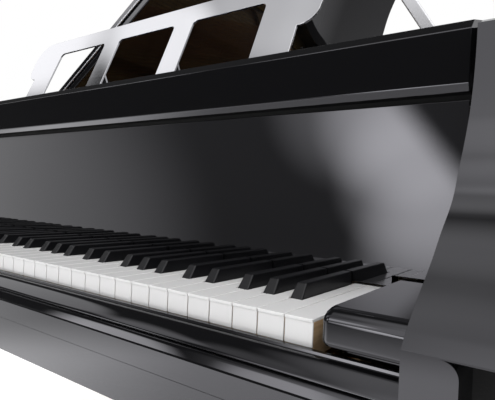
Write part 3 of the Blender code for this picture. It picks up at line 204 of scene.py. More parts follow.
# Strings
STRING_GROUPS = 66
STRING_SPACING = 2.6 * MM
STRING_RADIUS = 0.5 * MM
STRING_START = 4 * MM  # behind the front of the frame's strings
TREBLE_INSET = 10 * MM
TREBLE_END = 125 * MM  # before the rim's wall
BASS_SINGLES = 10
BASS_DOUBLES = 12
BASS_PAIR_HALF = 1.3 * STRING_SPACING
BASS_INSET = (8 * MM, 4 * MM)
BASS_RADIUS = 1.5 * MM
BASS_LEVEL = 1 * MM  # under the top of the frame's strings
BASS_BARE = (30 * MM, 60 * MM)  # lengths at the start and end without a winding
PIN_RADIUS = 3.3 * MM
PIN_RISE = 21 * MM
PIN_HEAD = 6 * MM
PIN_HEAD_SHARES = (0.9, 0.75)  # the squared head's radius at its foot and tip
PIN_SHIFT = 2 * MM  # from its string
COIL_LEVEL = 9 * MM  # over the plate
COIL = mm((0, 0), (1.1, 0.5), (0.7, 1.2), (1.1, 1.9), (0.7, 2.6), (1.1, 3.3), (0, 3.8))
WIRE_LEVEL = 12 * MM  # of a string at its tuning pin, over the plate
HITCH_RISE = 3 * MM  # of a hitch pin over its string
AGRAFFE_HALF_DEPTH = 4 * MM
# Of each set of strings, in millimetres: its tuning pins' places before the agraffes (the first,
# then more for each row of groups and for each string), the radius of its hitch pins, and its
# agraffes' half width and height over the string.
STRING_SETS = {
    "treble_strings": ((74, 0, 22), 1.8, (5.5, 4)),
    "bass_strings": ((50, 20, 10), 2.0, (6, 2)),
}
REST_DEPTH = 8 * MM  # brass bar under the strings
REST_HEIGHT = 3 * MM
REST_SPACE = 8 * MM  # between the two bars

# Dampers and hammers
DAMPER_COUNT = 69
DAMPER_SHARE = 0.72  # a head's width as a share of the pitch
DAMPER_FELT = 7 * MM  # height of the felt
DAMPER_FELT_INSET = (0.6 * MM, 1 * MM)  # at each side, at front and back
DAMPER_TIP_HALF = 1.5 * MM
DAMPER_WIRE = (1.5 * MM, -6 * MM, -4 * MM, 0.9 * MM)  # behind the head, below, short of the top, radius
HAMMER_COUNT = 88
HAMMER_SHARE = 0.33  # a hammer's half width as a share of the pitch
HAMMER_RADII = (10.5 * MM, 16 * MM)
SHANK_HALF = 2.5 * MM
SHANK_INSET = 8 * MM
SHANK_LEVELS = (58 * MM, 20 * MM)  # foot and top, under the hammers' crowns
RAIL_LEVEL = 50 * MM
RAIL_HEIGHT = 20 * MM
POST_COUNT = 4
POST_HALF = 6 * MM
POST_TOP = 10 * MM  # under the rail's top

# Legs, casters and lyre
FERRULE_HALF = 37.2 * MM
FERRULE_LEVELS = (0.4 * MM, 26 * MM)
WHEEL_HUB = 9 * MM
WHEEL_HALF = 12.5 * MM
WHEEL_TREAD = mm((7, 12.5), (2.5, 11.7), (0.1, 8.9), (0.1, 3), (2.6, 1.6))  # inset, from the middle
CASTER_CAP = mm((8, 0), (8, 1.6), (6, 3), (2, 3.4))
CASTER_CAP_REACH = 20.9 * MM
PEDAL_SLOT = (12.6 * MM, 69.8 * MM, 118.2 * MM)  # half width, foot and top
SLOT_PLATE = (18 * MM, 65 * MM, 123 * MM)
SLOT_PLATE_DEPTH = 1.6 * MM
PEDAL_ROD_RADIUS = 3.5 * MM
PEDAL_ROD_SHARE = 0.27  # how far apart the rods stand, as a share of the pedals
PEDAL_ROD_END = 20 * MM  # under the top of the lyre

# Studio. An edge is the range, along its direction, over which the light comes up.
FLOOR_RADIUS = 2.6
FLOOR_FADE = 1.5
FLOOR_GLOW = 0.62
LIGHT_COLOUR = (0.985, 0.985, 1.0, 1.0)
# Lights: azimuth, elevation, inner and outer angle, strength.
WINDOW = [(23, 12, 1, 12, 1.5), (17, 10, 1, 12, 4.0), (14.5, 3, 1, 12, 3.0), (12, -5, 1, 12, 3.4)]
WINDOW_FULL = 8.0
WINDOW_SIDE = ((12.4, 4), (18.5, 11.5))  # two places on its slanting side
WINDOW_SIDE_EDGE = (-0.04, 0.03)
WINDOW_FOOT = (-10.5, -7)  # elevations
WINDOW_EYE = Vector((146 * MM, 596 * MM, 82 * MM))  # the camera, mirrored in the key cover
WINDOW_AWAY = 2.0
WINDOW_REACH = WINDOW_AWAY * math.tan(math.radians(40))
WINDOW_RIGHT = 0.1
WINDOW_HALF_HEIGHT = 0.6
UNDER_BEAM = Vector((0, -0.222, -0.975))  # square to the plane of the camera and the gap
UNDER_BEAM_EDGE = (-0.006, 0.014)
OVER_BEAM = Vector((0, 0.335, 0.942))  # square to the plane of camera and beam's top
OVER_BEAM_EDGE = (0.005, 0.075)
HIGH_LIGHTS = [(-3, 42, 22, 44, 1.9), (75, 80, 6, 24, 1.3), (73, 43, 3, 8, 1.2), (66, 54, 3, 9, 0.6),
               (85, 32, 6, 9.5, 1.3), (55, 25, 4, 9, 4.0), (36, 36, 3, 9, 3.0), (-110, 62, 10, 28, 2.0),
               (-70, 45, 8, 24, 1.0), (180, 30, 15, 35, 0.5), (-95, 30, 15, 50, 0.7)]
LOW_LIGHT = (70, -8, 14, 32, 0.9)
FRONT = (0, -1, 0)
FRONT_EDGE = (-0.2, 0.2)
GROUND_EDGE = (-0.1, 0.5)
DARK = 0.05
LOW_GREY = 0.2
# Light from below: elevations between which it comes up, and its strength.
GROUND = [(-14, -20, 2.0), (-24, -31, -1.5)]
LOW_BACK = (-5, -20, 0.25)


# Materials

def add_node(tree, kind, inputs, **settings):
    """A shader node with its settings, and its inputs as values or as other nodes' outputs."""
    made = tree.nodes.new(kind)
    for key, value in settings.items():
        setattr(made, key, value)
    for key, value in inputs.items():
        if isinstance(value, bpy.types.NodeSocket):
            tree.links.new(value, made.inputs[key])
        else:
            made.inputs[key].default_value = value
    return made


def remap(tree, source, low, high, from_low=0.0, from_high=1.0):
    """A value carried from one range to another."""
    inputs = {"Value": source, "From Min": from_low, "From Max": from_high, "To Min": low, "To Max": high}
    return add_node(tree, "ShaderNodeMapRange", inputs).outputs["Result"]


def noise(tree, scale, detail, stretch=(1.0, 1.0, 1.0), roughness=0.5, contrast=None):
    """A noise in object space, stretched along its axes; contrast is the range that is used of it."""
    place = add_node(tree, "ShaderNodeTexCoord", {}).outputs["Object"]
    mapping = add_node(tree, "ShaderNodeMapping", {"Vector": place, "Scale": stretch})
    inputs = {"Vector": mapping.outputs["Vector"], "Scale": scale, "Detail": detail, "Roughness": roughness}
    made = add_node(tree, "ShaderNodeTexNoise", inputs).outputs["Fac"]
    return remap(tree, made, 0.0, 1.0, *contrast) if contrast else made


def material(name, colour, roughness, metallic=0.0, more=(), shine=None, tone=None, relief=None):
    """A Principled material, with more of its inputs where they are given.

    Its roughness (shine), colour (tone) and relief may each follow a noise, named first:
    shine goes on with two roughnesses, tone with two colours, relief with strength and depth.
    """
    made = bpy.data.materials.new(name)
    made.use_nodes = True
    tree = made.node_tree
    shader = tree.nodes["Principled BSDF"]
    inputs = {"Base Color": (*colour, 1.0), "Roughness": roughness, "Metallic": metallic, **dict(more)}
    for key, value in inputs.items():
        shader.inputs[key].default_value = value
    if shine:
        grain, low, high = shine
        tree.links.new(remap(tree, noise(tree, *grain), low, high), shader.inputs["Roughness"])
    if tone:
        grain, first, second = tone
        inputs = {"Factor": noise(tree, *grain), "A": (*first, 1.0), "B": (*second, 1.0)}
        blend = add_node(tree, "ShaderNodeMix", inputs, data_type="RGBA")
        tree.links.new(blend.outputs["Result"], shader.inputs["Base Color"])
    if relief:
        grain, strength, depth = relief
        inputs = {"Height": noise(tree, *grain), "Strength": strength, "Distance": depth}
        tree.links.new(add_node(tree, "ShaderNodeBump", inputs).outputs["Normal"], shader.inputs["Normal"])
    return made


def steel(name, colour, low, high):
    """Steel with fine lines left along X by the polishing belt."""
    lines = (60.0, 4.0, (0.02, 8.0, 8.0))
    return material(name, colour, low, 1.0, (), (lines, low, high), None, (lines, 0.03, 0.1 * MM))


def wood(name, light, dark, scale, stretch, roughness=0.55, coat=0.0):
    """Wood with grain lines stretched along one axis and finer pores over them."""
    grain = (scale, 6.0, stretch, 0.6, (0.35, 0.65))
    pores = (scale * 6, 3.0, stretch)
    return material(name, light, roughness, 0.0, {"Coat Weight": coat, "Coat Roughness": 0.12},
                    (pores, roughness - 0.1, roughness + 0.1), (grain, light, dark), (pores, 0.15, 0.2 * MM))


def felt(name, colour):
    fibre = (900.0, 6.0)
    darker = tuple(value * 0.7 for value in colour)
    return material(name, colour, 0.95, 0.0, {"Sheen Weight": 0.3}, None, (fibre, colour, darker),
                    (fibre, 0.5, 0.4 * MM))


LACQUER = {"IOR": 1.54, "Specular Tint": (0.95, 0.94, 1.0, 1.0)}
WEAR = (35.0, 5.0)
SAND_CAST = (220.0, 4.0)
CLOUDING = (14.0, 3.0)
SANDED = (160.0, 4.0, (6.0, 0.6, 6.0))

looks = {
    # Black polyester, polished, with the faint unevenness of a buffed surface
    "lacquer": material("lacquer", (0.004, 0.004, 0.0045), 0.03, 0.0, LACQUER,
                        ((9.0, 3.0), 0.02, 0.05), None, ((120.0, 2.0), 0.02, 0.2 * MM)),
    "polished_steel": steel("polished_steel", (0.67, 0.67, 0.69), 0.04, 0.1),
    "satin_steel": steel("satin_steel", (0.5, 0.5, 0.51), 0.2, 0.3),
    "string_steel": steel("string_steel", (0.6, 0.6, 0.62), 0.2, 0.35),
    "string_copper": steel("string_copper", (0.62, 0.32, 0.17), 0.25, 0.4),
    "brass": material("brass", (0.75, 0.53, 0.23), 0.16, 1.0, (),
                      (WEAR, 0.1, 0.3), (WEAR, (0.82, 0.6, 0.28), (0.62, 0.42, 0.16))),
    "bare_wood": wood("beech", (0.5, 0.33, 0.18), (0.36, 0.22, 0.11), 18.0, (6.0, 0.5, 6.0)),
    "spruce": wood("spruce", (0.72, 0.5, 0.24), (0.52, 0.32, 0.12), 14.0, (14.0, 0.35, 14.0), 0.35, 0.4),
    "key_wood": wood("key_wood", (0.62, 0.44, 0.26), (0.46, 0.3, 0.16), 30.0, (5.0, 0.5, 8.0)),
    # Bronze paint over sand-cast iron
    "plate_bronze": material("bronze_paint", (0.5, 0.34, 0.12), 0.38, 0.75, (), (SAND_CAST, 0.32, 0.48),
                             ((6.0, 2.0), (0.56, 0.39, 0.15), (0.46, 0.3, 0.1)),
                             (SAND_CAST, 0.15, 0.2 * MM)),
    # Polished key covering with faint clouding, and satin sharps with the grain of sanded wood
    "key_white": material("key_white", (0.82, 0.815, 0.8), 0.16, 0.0, (), (CLOUDING, 0.12, 0.24),
                          (CLOUDING, (0.86, 0.855, 0.845), (0.78, 0.775, 0.765))),
    "key_black": material("key_black", (0.005, 0.005, 0.006), 0.3, 0.0, {"Specular IOR Level": 0.3},
                          (SANDED, 0.26, 0.36), None, (SANDED, 0.06, 0.1 * MM)),
    "damper_felt": felt("damper_felt", (0.75, 0.73, 0.68)),
    "hammer_felt": felt("hammer_felt", (0.8, 0.77, 0.7)),
    "red_felt": felt("red_felt", (0.35, 0.02, 0.03)),
    "rubber": material("rubber", (0.02, 0.02, 0.02), 0.7, 0.0, (), ((300.0, 3.0), 0.6, 0.85)),
    # Black felt under the beam, also used for the black sheet that paints shade in the arms' recesses
    "black_felt_and_painted_shade": felt("black_felt_and_painted_shade", (0.004, 0.004, 0.004)),
}


# Geometry helpers

def flattened(solid):
    """The same bmesh with its flat faces whole."""
    bmesh.ops.dissolve_limit(solid, angle_limit=FLAT_TURN, verts=solid.verts, edges=solid.edges)
    return solid


def welded(node, lay=Matrix()):
    """A copy of a node's mesh with its split corners joined and its flat faces whole again."""
    solid = bmesh.new()
    solid.from_mesh(frame["nodes"][node].data)
    solid.transform(lay)
    bmesh.ops.remove_doubles(solid, verts=solid.verts, dist=WELD)
    return flattened(solid)


def flat_faces(node, axis, side, level=None, lay=Matrix()):
    """Outlines of a node's flat faces that look along an axis, the largest first.

    Each outline's points are (y, z) for axis 0, (x, z) for axis 1 and (x, y) for axis 2.
    """
    solid = welded(node, lay)
    across = [i for i in range(3) if i != axis]
    found = []
    for face in solid.faces:
        if face.normal[axis] * side < 0.99:
            continue
        if level is None or abs(face.verts[0].co[axis] - level) < 0.3 * MM:
            found.append((face.calc_area(), [tuple(v.co[i] for i in across) for v in face.verts]))
    solid.free()
    return [outline for area, outline in sorted(found, key=lambda entry: -entry[0])]


def laid_box(node, lay):
    """Lowest and highest corner of a node that a matrix moves."""
    solid = welded(node, lay)
    spots = [vertex.co.copy() for vertex in solid.verts]
    solid.free()
    return [Vector([pick(spot[i] for spot in spots) for i in range(3)]) for pick in (min, max)]


def extent(outline):
    """Least and greatest first coordinate of an outline, then of its second."""
    us, vs = zip(*outline)
    return min(us), max(us), min(vs), max(vs)


def rectangle(left, right, front, back):
    return [(left, front), (right, front), (right, back), (left, back)]


def ellipse(centre, radii, start, end, steps):
    """Points of an elliptic arc, in degrees, both ends included."""
    points = []
    for i in range(steps + 1):
        angle = math.radians(start + (end - start) * i / steps)
        points.append((centre[0] + radii[0] * math.cos(angle), centre[1] + radii[1] * math.sin(angle)))
    return points


def refined(outline, steps=3):
    """A closed outline with its soft bends drawn as a smooth curve; corners and long runs stay."""
    count = len(outline)
    spots = [Vector(spot) for spot in outline]
    runs = [spots[(i + 1) % count] - spots[i] for i in range(count)]
    corner = []
    for i in range(count):
        sharp = runs[i - 1].length and runs[i].length and abs(runs[i - 1].angle_signed(runs[i])) > SOFT_TURN
        corner.append(bool(sharp))

    def slope(i, run, other):
        """The curve's run at a spot: straight on at a corner or beside a long run."""
        if corner[i] or other.length > LONG_RUN:
            return run
        return (spots[(i + 1) % count] - spots[i - 1]) * run.length / (other.length + run.length)

    points = []
    for i in range(count):
        k = (i + 1) % count
        points.append(tuple(spots[i]))
        if runs[i].length > LONG_RUN or (corner[i] and corner[k]):
            continue
        leave = slope(i, runs[i], runs[i - 1])
        arrive = slope(k, runs[i], runs[k])
        for step in range(1, steps):
            t = step / steps
            spot = spots[i] * (2 * t ** 3 - 3 * t * t + 1) + leave * (t ** 3 - 2 * t * t + t)
            spot = spot + spots[k] * (3 * t * t - 2 * t ** 3) + arrive * (t ** 3 - t * t)
            points.append(tuple(spot))
    return points


def rounded_line(line, rounds=3):
    """An open line with its corners cut again and again, which leaves a smooth curve."""
    for _ in range(rounds):
        cut_line = [line[0]]
        for first, second in zip(line, line[1:]):
            for share in (0.75, 0.25):
                cut_line.append(tuple(share * a + (1 - share) * b for a, b in zip(first, second)))
        line = cut_line + [line[-1]]
    return line


def cube(low, high):
    """A box between two corners."""
    solid = bmesh.new()
    bmesh.ops.create_cube(solid, size=1.0)
    bmesh.ops.scale(solid, verts=solid.verts, vec=Vector(high) - Vector(low))
    bmesh.ops.translate(solid, verts=solid.verts, vec=(Vector(high) + Vector(low)) / 2)
    return solid


def aimed(place, direction):
    """Matrix that carries the origin to a place and Z to a direction."""
    return Matrix.Translation(place) @ Vector(direction).to_track_quat("Z", "Y").to_matrix().to_4x4()


def rod(start, end, radius, sides=16, tip=None):
    """A round rod, or a cone where its tip has another radius."""
    start = Vector(start)
    run = Vector(end) - start
    solid = bmesh.new()
    bmesh.ops.create_cone(solid, cap_ends=True, segments=sides, radius1=radius,
                          radius2=radius if tip is None else tip, depth=run.length)
    solid.transform(aimed(start + run / 2, run))
    return solid


def knuckles(start, axis, count, pitch, space, radius, sides=20):
    """A hinge's knuckles: short rods in a row along X (axis 0) or Y (axis 1)."""
    rods = []
    for i in range(count):
        first, last = list(start), list(start)
        first[axis] += i * pitch + space / 2
        last[axis] += (i + 1) * pitch - space / 2
        rods.append(rod(first, last, radius, sides))
    return rods


def ball(centre, radii, segments=12, rings=8):
    solid = bmesh.new()
    bmesh.ops.create_uvsphere(solid, u_segments=segments, v_segments=rings, radius=1.0)
    solid.transform(Matrix.Translation(centre) @ Matrix.Diagonal((*radii, 1.0)))
    return solid


def loft(layers):
    """A solid through outlines of equally many points, each with its own height before it."""
    solid = bmesh.new()
    rows = [[solid.verts.new((x, y, height)) for x, y in outline] for height, outline in layers]
    for first, second in zip(rows, rows[1:]):
        for i in range(len(first)):
            k = (i + 1) % len(first)
            solid.faces.new((first[i], first[k], second[k], second[i]))
    solid.faces.new(rows[0][::-1])
    solid.faces.new(rows[-1])
    return solid


def turned(profile, centre, axis=(0, 0, 1), sides=32):
    """A turned solid: the profile's points are radius and height along the axis."""
    layers = []
    for radius, height in profile:
        layers.append((height, ellipse((0, 0), (radius, radius), 0, 360 - 360 / sides, sides - 1)))
    solid = loft(layers)
    solid.transform(aimed(centre, axis))
    return solid


def curve_solid(lines, closed, **settings):
    """The bmesh of a curve along lines of points, with the curve's settings."""
    curve = bpy.data.curves.new("lines", "CURVE")
    for key, value in settings.items():
        setattr(curve, key, value)
    for line in lines:
        spline = curve.splines.new("POLY")
        spline.points.add(len(line) - 1)
        for point, spot in zip(spline.points, line):
            point.co = (*Vector(spot).to_3d(), 1)
        spline.use_cyclic_u = closed
    carrier = bpy.data.objects.new("lines", curve)
    mesh = bpy.data.meshes.new_from_object(carrier)
    solid = bmesh.new()
    solid.from_mesh(mesh)
    bpy.data.objects.remove(carrier)
    bpy.data.curves.remove(curve)
    bpy.data.meshes.remove(mesh)
    return solid


# How an outline drawn in X and Y is laid square to each axis.
OUTLINE_LAYS = {
    "x": Matrix(((0, 0, 1, 0), (1, 0, 0, 0), (0, 1, 0, 0), (0, 0, 0, 1))),
    "y": Matrix.Rotation(math.pi / 2, 4, "X"),
    "z": Matrix(),
}


def prism(outline, axis, low, high, holes=()):
    """A flat outline, with any holes, made solid between two planes square to an axis."""
    solid = curve_solid((outline, *holes), True, dimensions="2D", fill_mode="BOTH", extrude=(high - low) / 2)
    bmesh.ops.remove_doubles(solid, verts=solid.verts, dist=WELD / 4)
    middle = Vector([(low + high) / 2 if name == axis else 0 for name in "xyz"])
    solid.transform(Matrix.Translation(middle) @ OUTLINE_LAYS[axis])
    bmesh.ops.recalc_face_normals(solid, faces=solid.faces)
    return flattened(solid)


def wires(lines, radius, sides_level=1):
    """Round wires along lines of points, as one solid mesh."""
    return curve_solid(lines, False, dimensions="3D", bevel_depth=radius, bevel_resolution=sides_level,
                       use_fill_caps=True)


def to_mesh(solid, name, outwards=True):
    """A mesh from a bmesh, which is used up."""
    if outwards:
        bmesh.ops.recalc_face_normals(solid, faces=solid.faces)
    mesh = bpy.data.meshes.new(name)
    solid.to_mesh(mesh)
    solid.free()
    return mesh


def placed(name, data):
    """An object in the scene."""
    thing = bpy.data.objects.new(name, data)
    bpy.context.scene.collection.objects.link(thing)
    return thing


def gather(solids, lay=Matrix()):
    """Several solids in one bmesh, moved by a matrix."""
    whole = bmesh.new()
    for solid in solids:
        mesh = to_mesh(solid, "part")
        whole.from_mesh(mesh)
        bpy.data.meshes.remove(mesh)
    whole.transform(lay)
    return whole


def cut(base, tools):
    """A solid with tools cut out of it."""
    operands = [placed("operand", to_mesh(solid, "operand")) for solid in (base, *tools)]
    for tool in operands[1:]:
        step = operands[0].modifiers.new("step", "BOOLEAN")
        step.operation = "DIFFERENCE"
        step.object = tool
    result = bmesh.new()
    result.from_object(operands[0], bpy.context.evaluated_depsgraph_get())
    for operand in operands:
        mesh = operand.data
        bpy.data.objects.remove(operand)
        bpy.data.meshes.remove(mesh)
    bmesh.ops.remove_doubles(result, verts=result.verts, dist=WELD)
    return result


def adopt(name, solid, body, look, rounding, stands_for=()):
    """Make a piece from a bmesh, give it its finish and let it ride on its body."""
    mesh = to_mesh(solid, name)
    mesh.materials.append(looks[look])
    mesh.shade_smooth()
    mesh.set_sharp_from_angle(angle=SOFT_TURN)
    piece = placed(name, mesh)
    if rounding:
        bevel = piece.modifiers.new("edge", "BEVEL")
        bevel.width = rounding[0] * MM
        bevel.segments = rounding[1]
        bevel.limit_method = "ANGLE"
        bevel.angle_limit = SOFT_TURN
        bevel.harden_normals = True
    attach(piece, body)
    if stands_for:
        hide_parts(*stands_for)


def dress(node, solid=None, name=None, look=None):
    """Stand a node's own shape, or a finer solid, with rounded edges and a finish in its place."""
    rounding = next(values for start, values in EDGES.items() if node.startswith(start))
    adopt(name or node + "_dressed", solid or welded(node), body_of[node], look or slots[node],
          rounding, (node,))


def trim(name, solid, body, look, rounding=None):
    """A small piece that stands for no node."""
    adopt(name, solid, body, look, rounding)


# Keys

def make_white_keys(node):
    """Covering, front plate and wooden stick of each white key in a node."""
    foot = max(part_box(node)[0].z, KEY_TOP - WHITE_STICK)
    cover_foot = KEY_TOP - WHITE_COVER
    plate_front = KEY_FRONT + WHITE_LIP
    plate_back = plate_front + WHITE_FRONT
    covers, sticks = [], []
    for outline in flat_faces(node, 2, 1, KEY_TOP):
        left, right, _, _ = extent(outline)
        shown = [(x, min(y, KEY_FRONT + WHITE_SHOW)) for x, y in outline]
        covers.append(prism(shown, "z", cover_foot, KEY_TOP))
        covers.append(cube((left, plate_front, KEY_TOP - KEY_FACE), (right, plate_back, cover_foot - SKIN)))
        stick = [(x, max(y, plate_back + SKIN)) for x, y in outline]
        sticks.append(prism(stick, "z", foot, cover_foot - SKIN))
    dress(node, gather(covers), node + "_covering", "key_white")
    trim(node + "_wood", gather(sticks), body_of[node], "key_wood")


def make_black_keys(node):
    """Sharps with a sloping front, drawn in towards their crest, on wooden sticks."""
    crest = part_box("black_key_36")[1].z
    foot = KEY_TOP - BLACK_SKIRT
    blocks, sticks = [], []
    for outline in flat_faces(node, 2, 1, crest):
        left, right, front, back = extent(outline)
        middle = (left + right) / 2
        base_left, base_right = middle - BLACK_BASE_HALF, middle + BLACK_BASE_HALF
        base_front = front - BLACK_SLOPE
        base = rectangle(base_left, base_right, base_front, back)
        blocks.append(loft([(foot, base), (crest, rectangle(left, right, front, back))]))
        side_inset, front_inset = BLACK_STICK_INSET
        sticks.append(cube((base_left + side_inset, base_front + front_inset, KEY_TOP - BLACK_STICK),
                           (base_right - side_inset, back + BLACK_STICK_TAIL, foot - SKIN)))
    dress(node, gather(blocks), node + "_sharp", "key_black")
    trim(node + "_wood", gather(sticks), body_of[node], "key_wood")


def make_keyboard():
    for node in sorted(frame["nodes"]):
        if node.startswith("white_key"):
            make_white_keys(node)
        elif node.startswith("black_key"):
            make_black_keys(node)
    dress("key_frame")
    ends = zip(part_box("key_frame"), RAIL_FELT)
    felt = [(end.x + x, KEY_FRONT + y, KEY_TOP + z) for end, (x, y, z) in ends]
    trim("front_rail_felt", cube(*felt), "action", "red_felt")


# Front of the case

def key_place(depth, rise):
    """Depth and height in the room of a place given from the white keys' front top edge."""
    return KEY_FRONT + depth, KEY_TOP + rise


def flank(node):
    """1 on the treble side or -1 on the bass side, then x of a node's inner and outer side."""
    low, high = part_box(node)
    return (1, low.x, high.x) if low.x > 0 else (-1, high.x, low.x)


def make_key_slip():
    """The strip before the keys: a ledge, a round bar, a sloping band and a flat panel."""
    low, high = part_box("key_slip")
    profile = SLIP_TOP + rounded_line(SLIP_BAR) + rounded_line(SLIP_BAND) + SLIP_PANEL
    profile.append((SLIP_TOP[0][0], SLIP_PANEL[-1][1]))
    outline = [key_place(*spot) for spot in profile]
    dress("key_slip", prism([(y, max(z, low.z)) for y, z in outline], "x", low.x, high.x))
    dress("keybed")


def make_key_block(node):
    """A block at the keyboard's end with its edges rounded off in bands."""
    side, near, far = flank(node)
    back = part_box(node)[1].y
    layers = []
    for rise, front_inset, side_inset in BLOCK_BANDS:
        inner = near + side * side_inset
        front = KEY_FRONT + BLOCK_FRONT + front_inset
        centre = (inner + side * BLOCK_CORNER, front + BLOCK_CORNER)
        corner = ellipse(centre, (side * BLOCK_CORNER, BLOCK_CORNER), 180, 270, 8)
        layers.append((KEY_TOP + rise, corner + [(far, front), (far, back), (inner, back)]))
    dress(node, loft(layers))


def arm_outline(node, side, top):
    """Side view of an arm, with the curve of its front smoothed."""
    outline = flat_faces(node, 0, -side)[0]
    foot = min(range(len(outline)), key=lambda i: (outline[i][1] > KEY_TOP - ARM_FOOT, outline[i][0]))
    outline = outline[foot:] + outline[:foot]
    if outline[1][0] > outline[-1][0]:
        outline = [outline[0]] + outline[:0:-1]
    end = min(i for i, spot in enumerate(outline) if spot[1] > top - WELD)
    return outline[:1] + rounded_line(outline[1:end + 1]) + outline[end + 1:]


def make_arm(node):
    """An arm with a bevelled top front edge and the recess under its outer part, whose back wall is covered by a
    black sheet as painted shade.
    """
    low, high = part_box(node)
    side, near, far = flank(node)
    body = prism(arm_outline(node, side, high.z), "x", low.x, high.x)
    inner, outer = near + side * ARM_RECESS, far + side * BEYOND
    back = low.y + ARM_RECESS_DEPTH
    nose = KEY_TOP + ARM_RECESS_TOP
    r = ARM_NOSE_CORNER
    section = ellipse((inner - side * r, nose - r), (side * r, r), 0, 90, 8)
    section += [(outer, nose), (outer, low.z - BEYOND), (inner, low.z - BEYOND)]
    recess = prism(section, "y", low.y - BEYOND, back)
    # Painted shade: a thin black sheet stands on the recess's back wall so that the recess reads dark, as if unlit
    thickness, end_inset, side_inset = ARM_SHADE_SHEET
    left, right = sorted((inner, far - side * side_inset))
    shade_sheet = cube((left, back - thickness, low.z + end_inset), (right, back - SKIN, nose - end_inset))
    trim(node + "_recess_painted_shade", shade_sheet, "case", "black_felt_and_painted_shade")
    (y0, z0), (y1, z1) = key_place(*ARM_BEVEL[0]), key_place(*ARM_BEVEL[1])
    run, rise = y1 - y0, z1 - z0
    above = [(y0 - run, z0 - rise), (y1 + run, z1 + rise),
             (y1 + run, z1 + 3 * rise), (y0 - run, z1 + 3 * rise)]
    bevel = prism(above, "x", low.x - BEYOND, high.x + BEYOND)
    dress(node, cut(body, [recess, bevel]))


def make_beam():
    """The beam over the key cover, bevelled round its front, with black felt under it."""
    low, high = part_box("front_beam")
    left, right = low.x + BEAM_END, high.x - BEAM_END
    layers = []
    for share, inset in BEAM_BANDS:
        front = low.y + inset
        outline = [(left, front), (right, front), (high.x, front + BEAM_END), (high.x, high.y),
                   (low.x, high.y), (low.x, front + BEAM_END)]
        layers.append((low.z + share * (high.z - low.z), outline))
    dress("front_beam", loft(layers))
    inset, depth, height = BEAM_FELT
    back = high.y - inset
    felt = cube((low.x, back - depth, low.z - height), (high.x, back, low.z - SKIN))
    trim("beam_felt", felt, "case", "black_felt_and_painted_shade")


def make_front():
    make_key_slip()
    for node in ("key_block_bass", "key_block_treble"):
        make_key_block(node)
    for node in ("arm_bass", "arm_treble"):
        make_arm(node)
    make_beam()
    dress("fallboard")


# Desk

def desk_outline():
    step = DESK_STEP_HEIGHT + DESK_STEP_RADIUS
    top_corner = (DESK_HALF_WIDTH - DESK_CORNER, DESK_HEIGHT - DESK_CORNER)
    right = [(DESK_LOWER_HALF_WIDTH, DESK_FOOT)]
    right += ellipse((DESK_LOWER_HALF_WIDTH, step), (DESK_STEP_RADIUS, DESK_STEP_RADIUS), -90, 0, 12)
    right += ellipse(top_corner, (DESK_CORNER, DESK_CORNER), 0, 90, 16)
    return right + [(-x, u) for x, u in right[::-1]]


def desk_windows():
    r = DESK_WINDOW_CORNER
    low, high = DESK_WINDOW[0] + r, DESK_WINDOW[1] - r
    loops = []
    for i in (-1, 0, 1):
        x = i * (2 * DESK_WINDOW_HALF + DESK_MULLION)
        left, right = x - DESK_WINDOW_HALF + r, x + DESK_WINDOW_HALF - r
        corners = ((right, low, -90), (right, high, 0), (left, high, 90), (left, low, 180))
        loop = []
        for u, v, start in corners:
            loop += ellipse((u, v), (r, r), start, start + 90, 5)
        loops.append(loop)
    return loops


def make_desk():
    """The desk, drawn in its own plane and leant back, its hinges, strut and shelf."""
    joint = joints["desk_fold"]
    lean = Matrix.Rotation(math.radians(joint["range_deg"][1]), 4, "X")
    lay = Matrix.Translation(Vector(joint["pos_m"])) @ lean
    plate = prism(desk_outline(), "z", *DESK_FACES, desk_windows())
    plate.transform(lay)
    dress("music_desk", plate)
    barrels = []
    for x in DESK_HINGES:
        start = (x - DESK_KNUCKLES / 2 * DESK_KNUCKLE[0], 0, 0)
        barrels += knuckles(start, 0, DESK_KNUCKLES, *DESK_KNUCKLE, 16)
    trim("desk_hinges", gather(barrels, lay), "desk", "polished_steel")
    dress("desk_strut")
    dress("music_shelf")


# Lid and prop

def make_lid():
    """Lid and flap, drawn shut and measured from the hinge, then opened."""
    joint = joints["lid_closing"]
    opening = Matrix.Rotation(-math.radians(joint["range_deg"][1]), 4, "Y")
    lay = Matrix.Translation(Vector(joint["pos_m"])) @ opening
    back = lay.inverted()
    for node in ("lid_main", "lid_flap"):
        low, high = laid_box(node, back)
        board = prism(refined(flat_faces(node, 2, 1, lay=back)[0]), "z", low.z, high.z)
        board.transform(lay)
        dress(node, board)
    make_flap_hinge(lay, back)
    make_bumpers(lay, back)
    make_prop()


def make_flap_hinge(lay, back):
    """Long hinge with its knuckles, their pin and one leaf."""
    low, high = laid_box("flap_hinge", back)
    y, z = low.y + FLAP_KNUCKLE, low.z + FLAP_KNUCKLE
    count = int((high.x - low.x) / KNUCKLE_PITCH)
    solids = knuckles((low.x, y, z), 0, count, KNUCKLE_PITCH, KNUCKLE_SPACE, FLAP_KNUCKLE)
    solids.append(rod((low.x, y, z), (high.x, y, z), FLAP_KNUCKLE * HINGE_PIN, 12))
    solids.append(cube((low.x, y, z - FLAP_LEAF_HALF), (high.x, high.y, z + FLAP_LEAF_HALF)))
    dress("flap_hinge", gather(solids, lay), "flap_hinge_knuckles")


def make_bumpers(lay, back):
    """Rubber buttons on the lid's underside, over the rim, and the cup for the prop's tip."""
    low, high = laid_box("lid_main", back)
    buttons = []
    for x, y in BUMPER_PLACES:
        place = (high.x + x, (low.y if y > 0 else high.y) + y, low.z - SKIN)
        buttons.append(turned(BUMPER, place, sides=24))
    trim("lid_bumpers", gather(buttons, lay), "lid", "rubber")
    dress("lid_prop_seat")


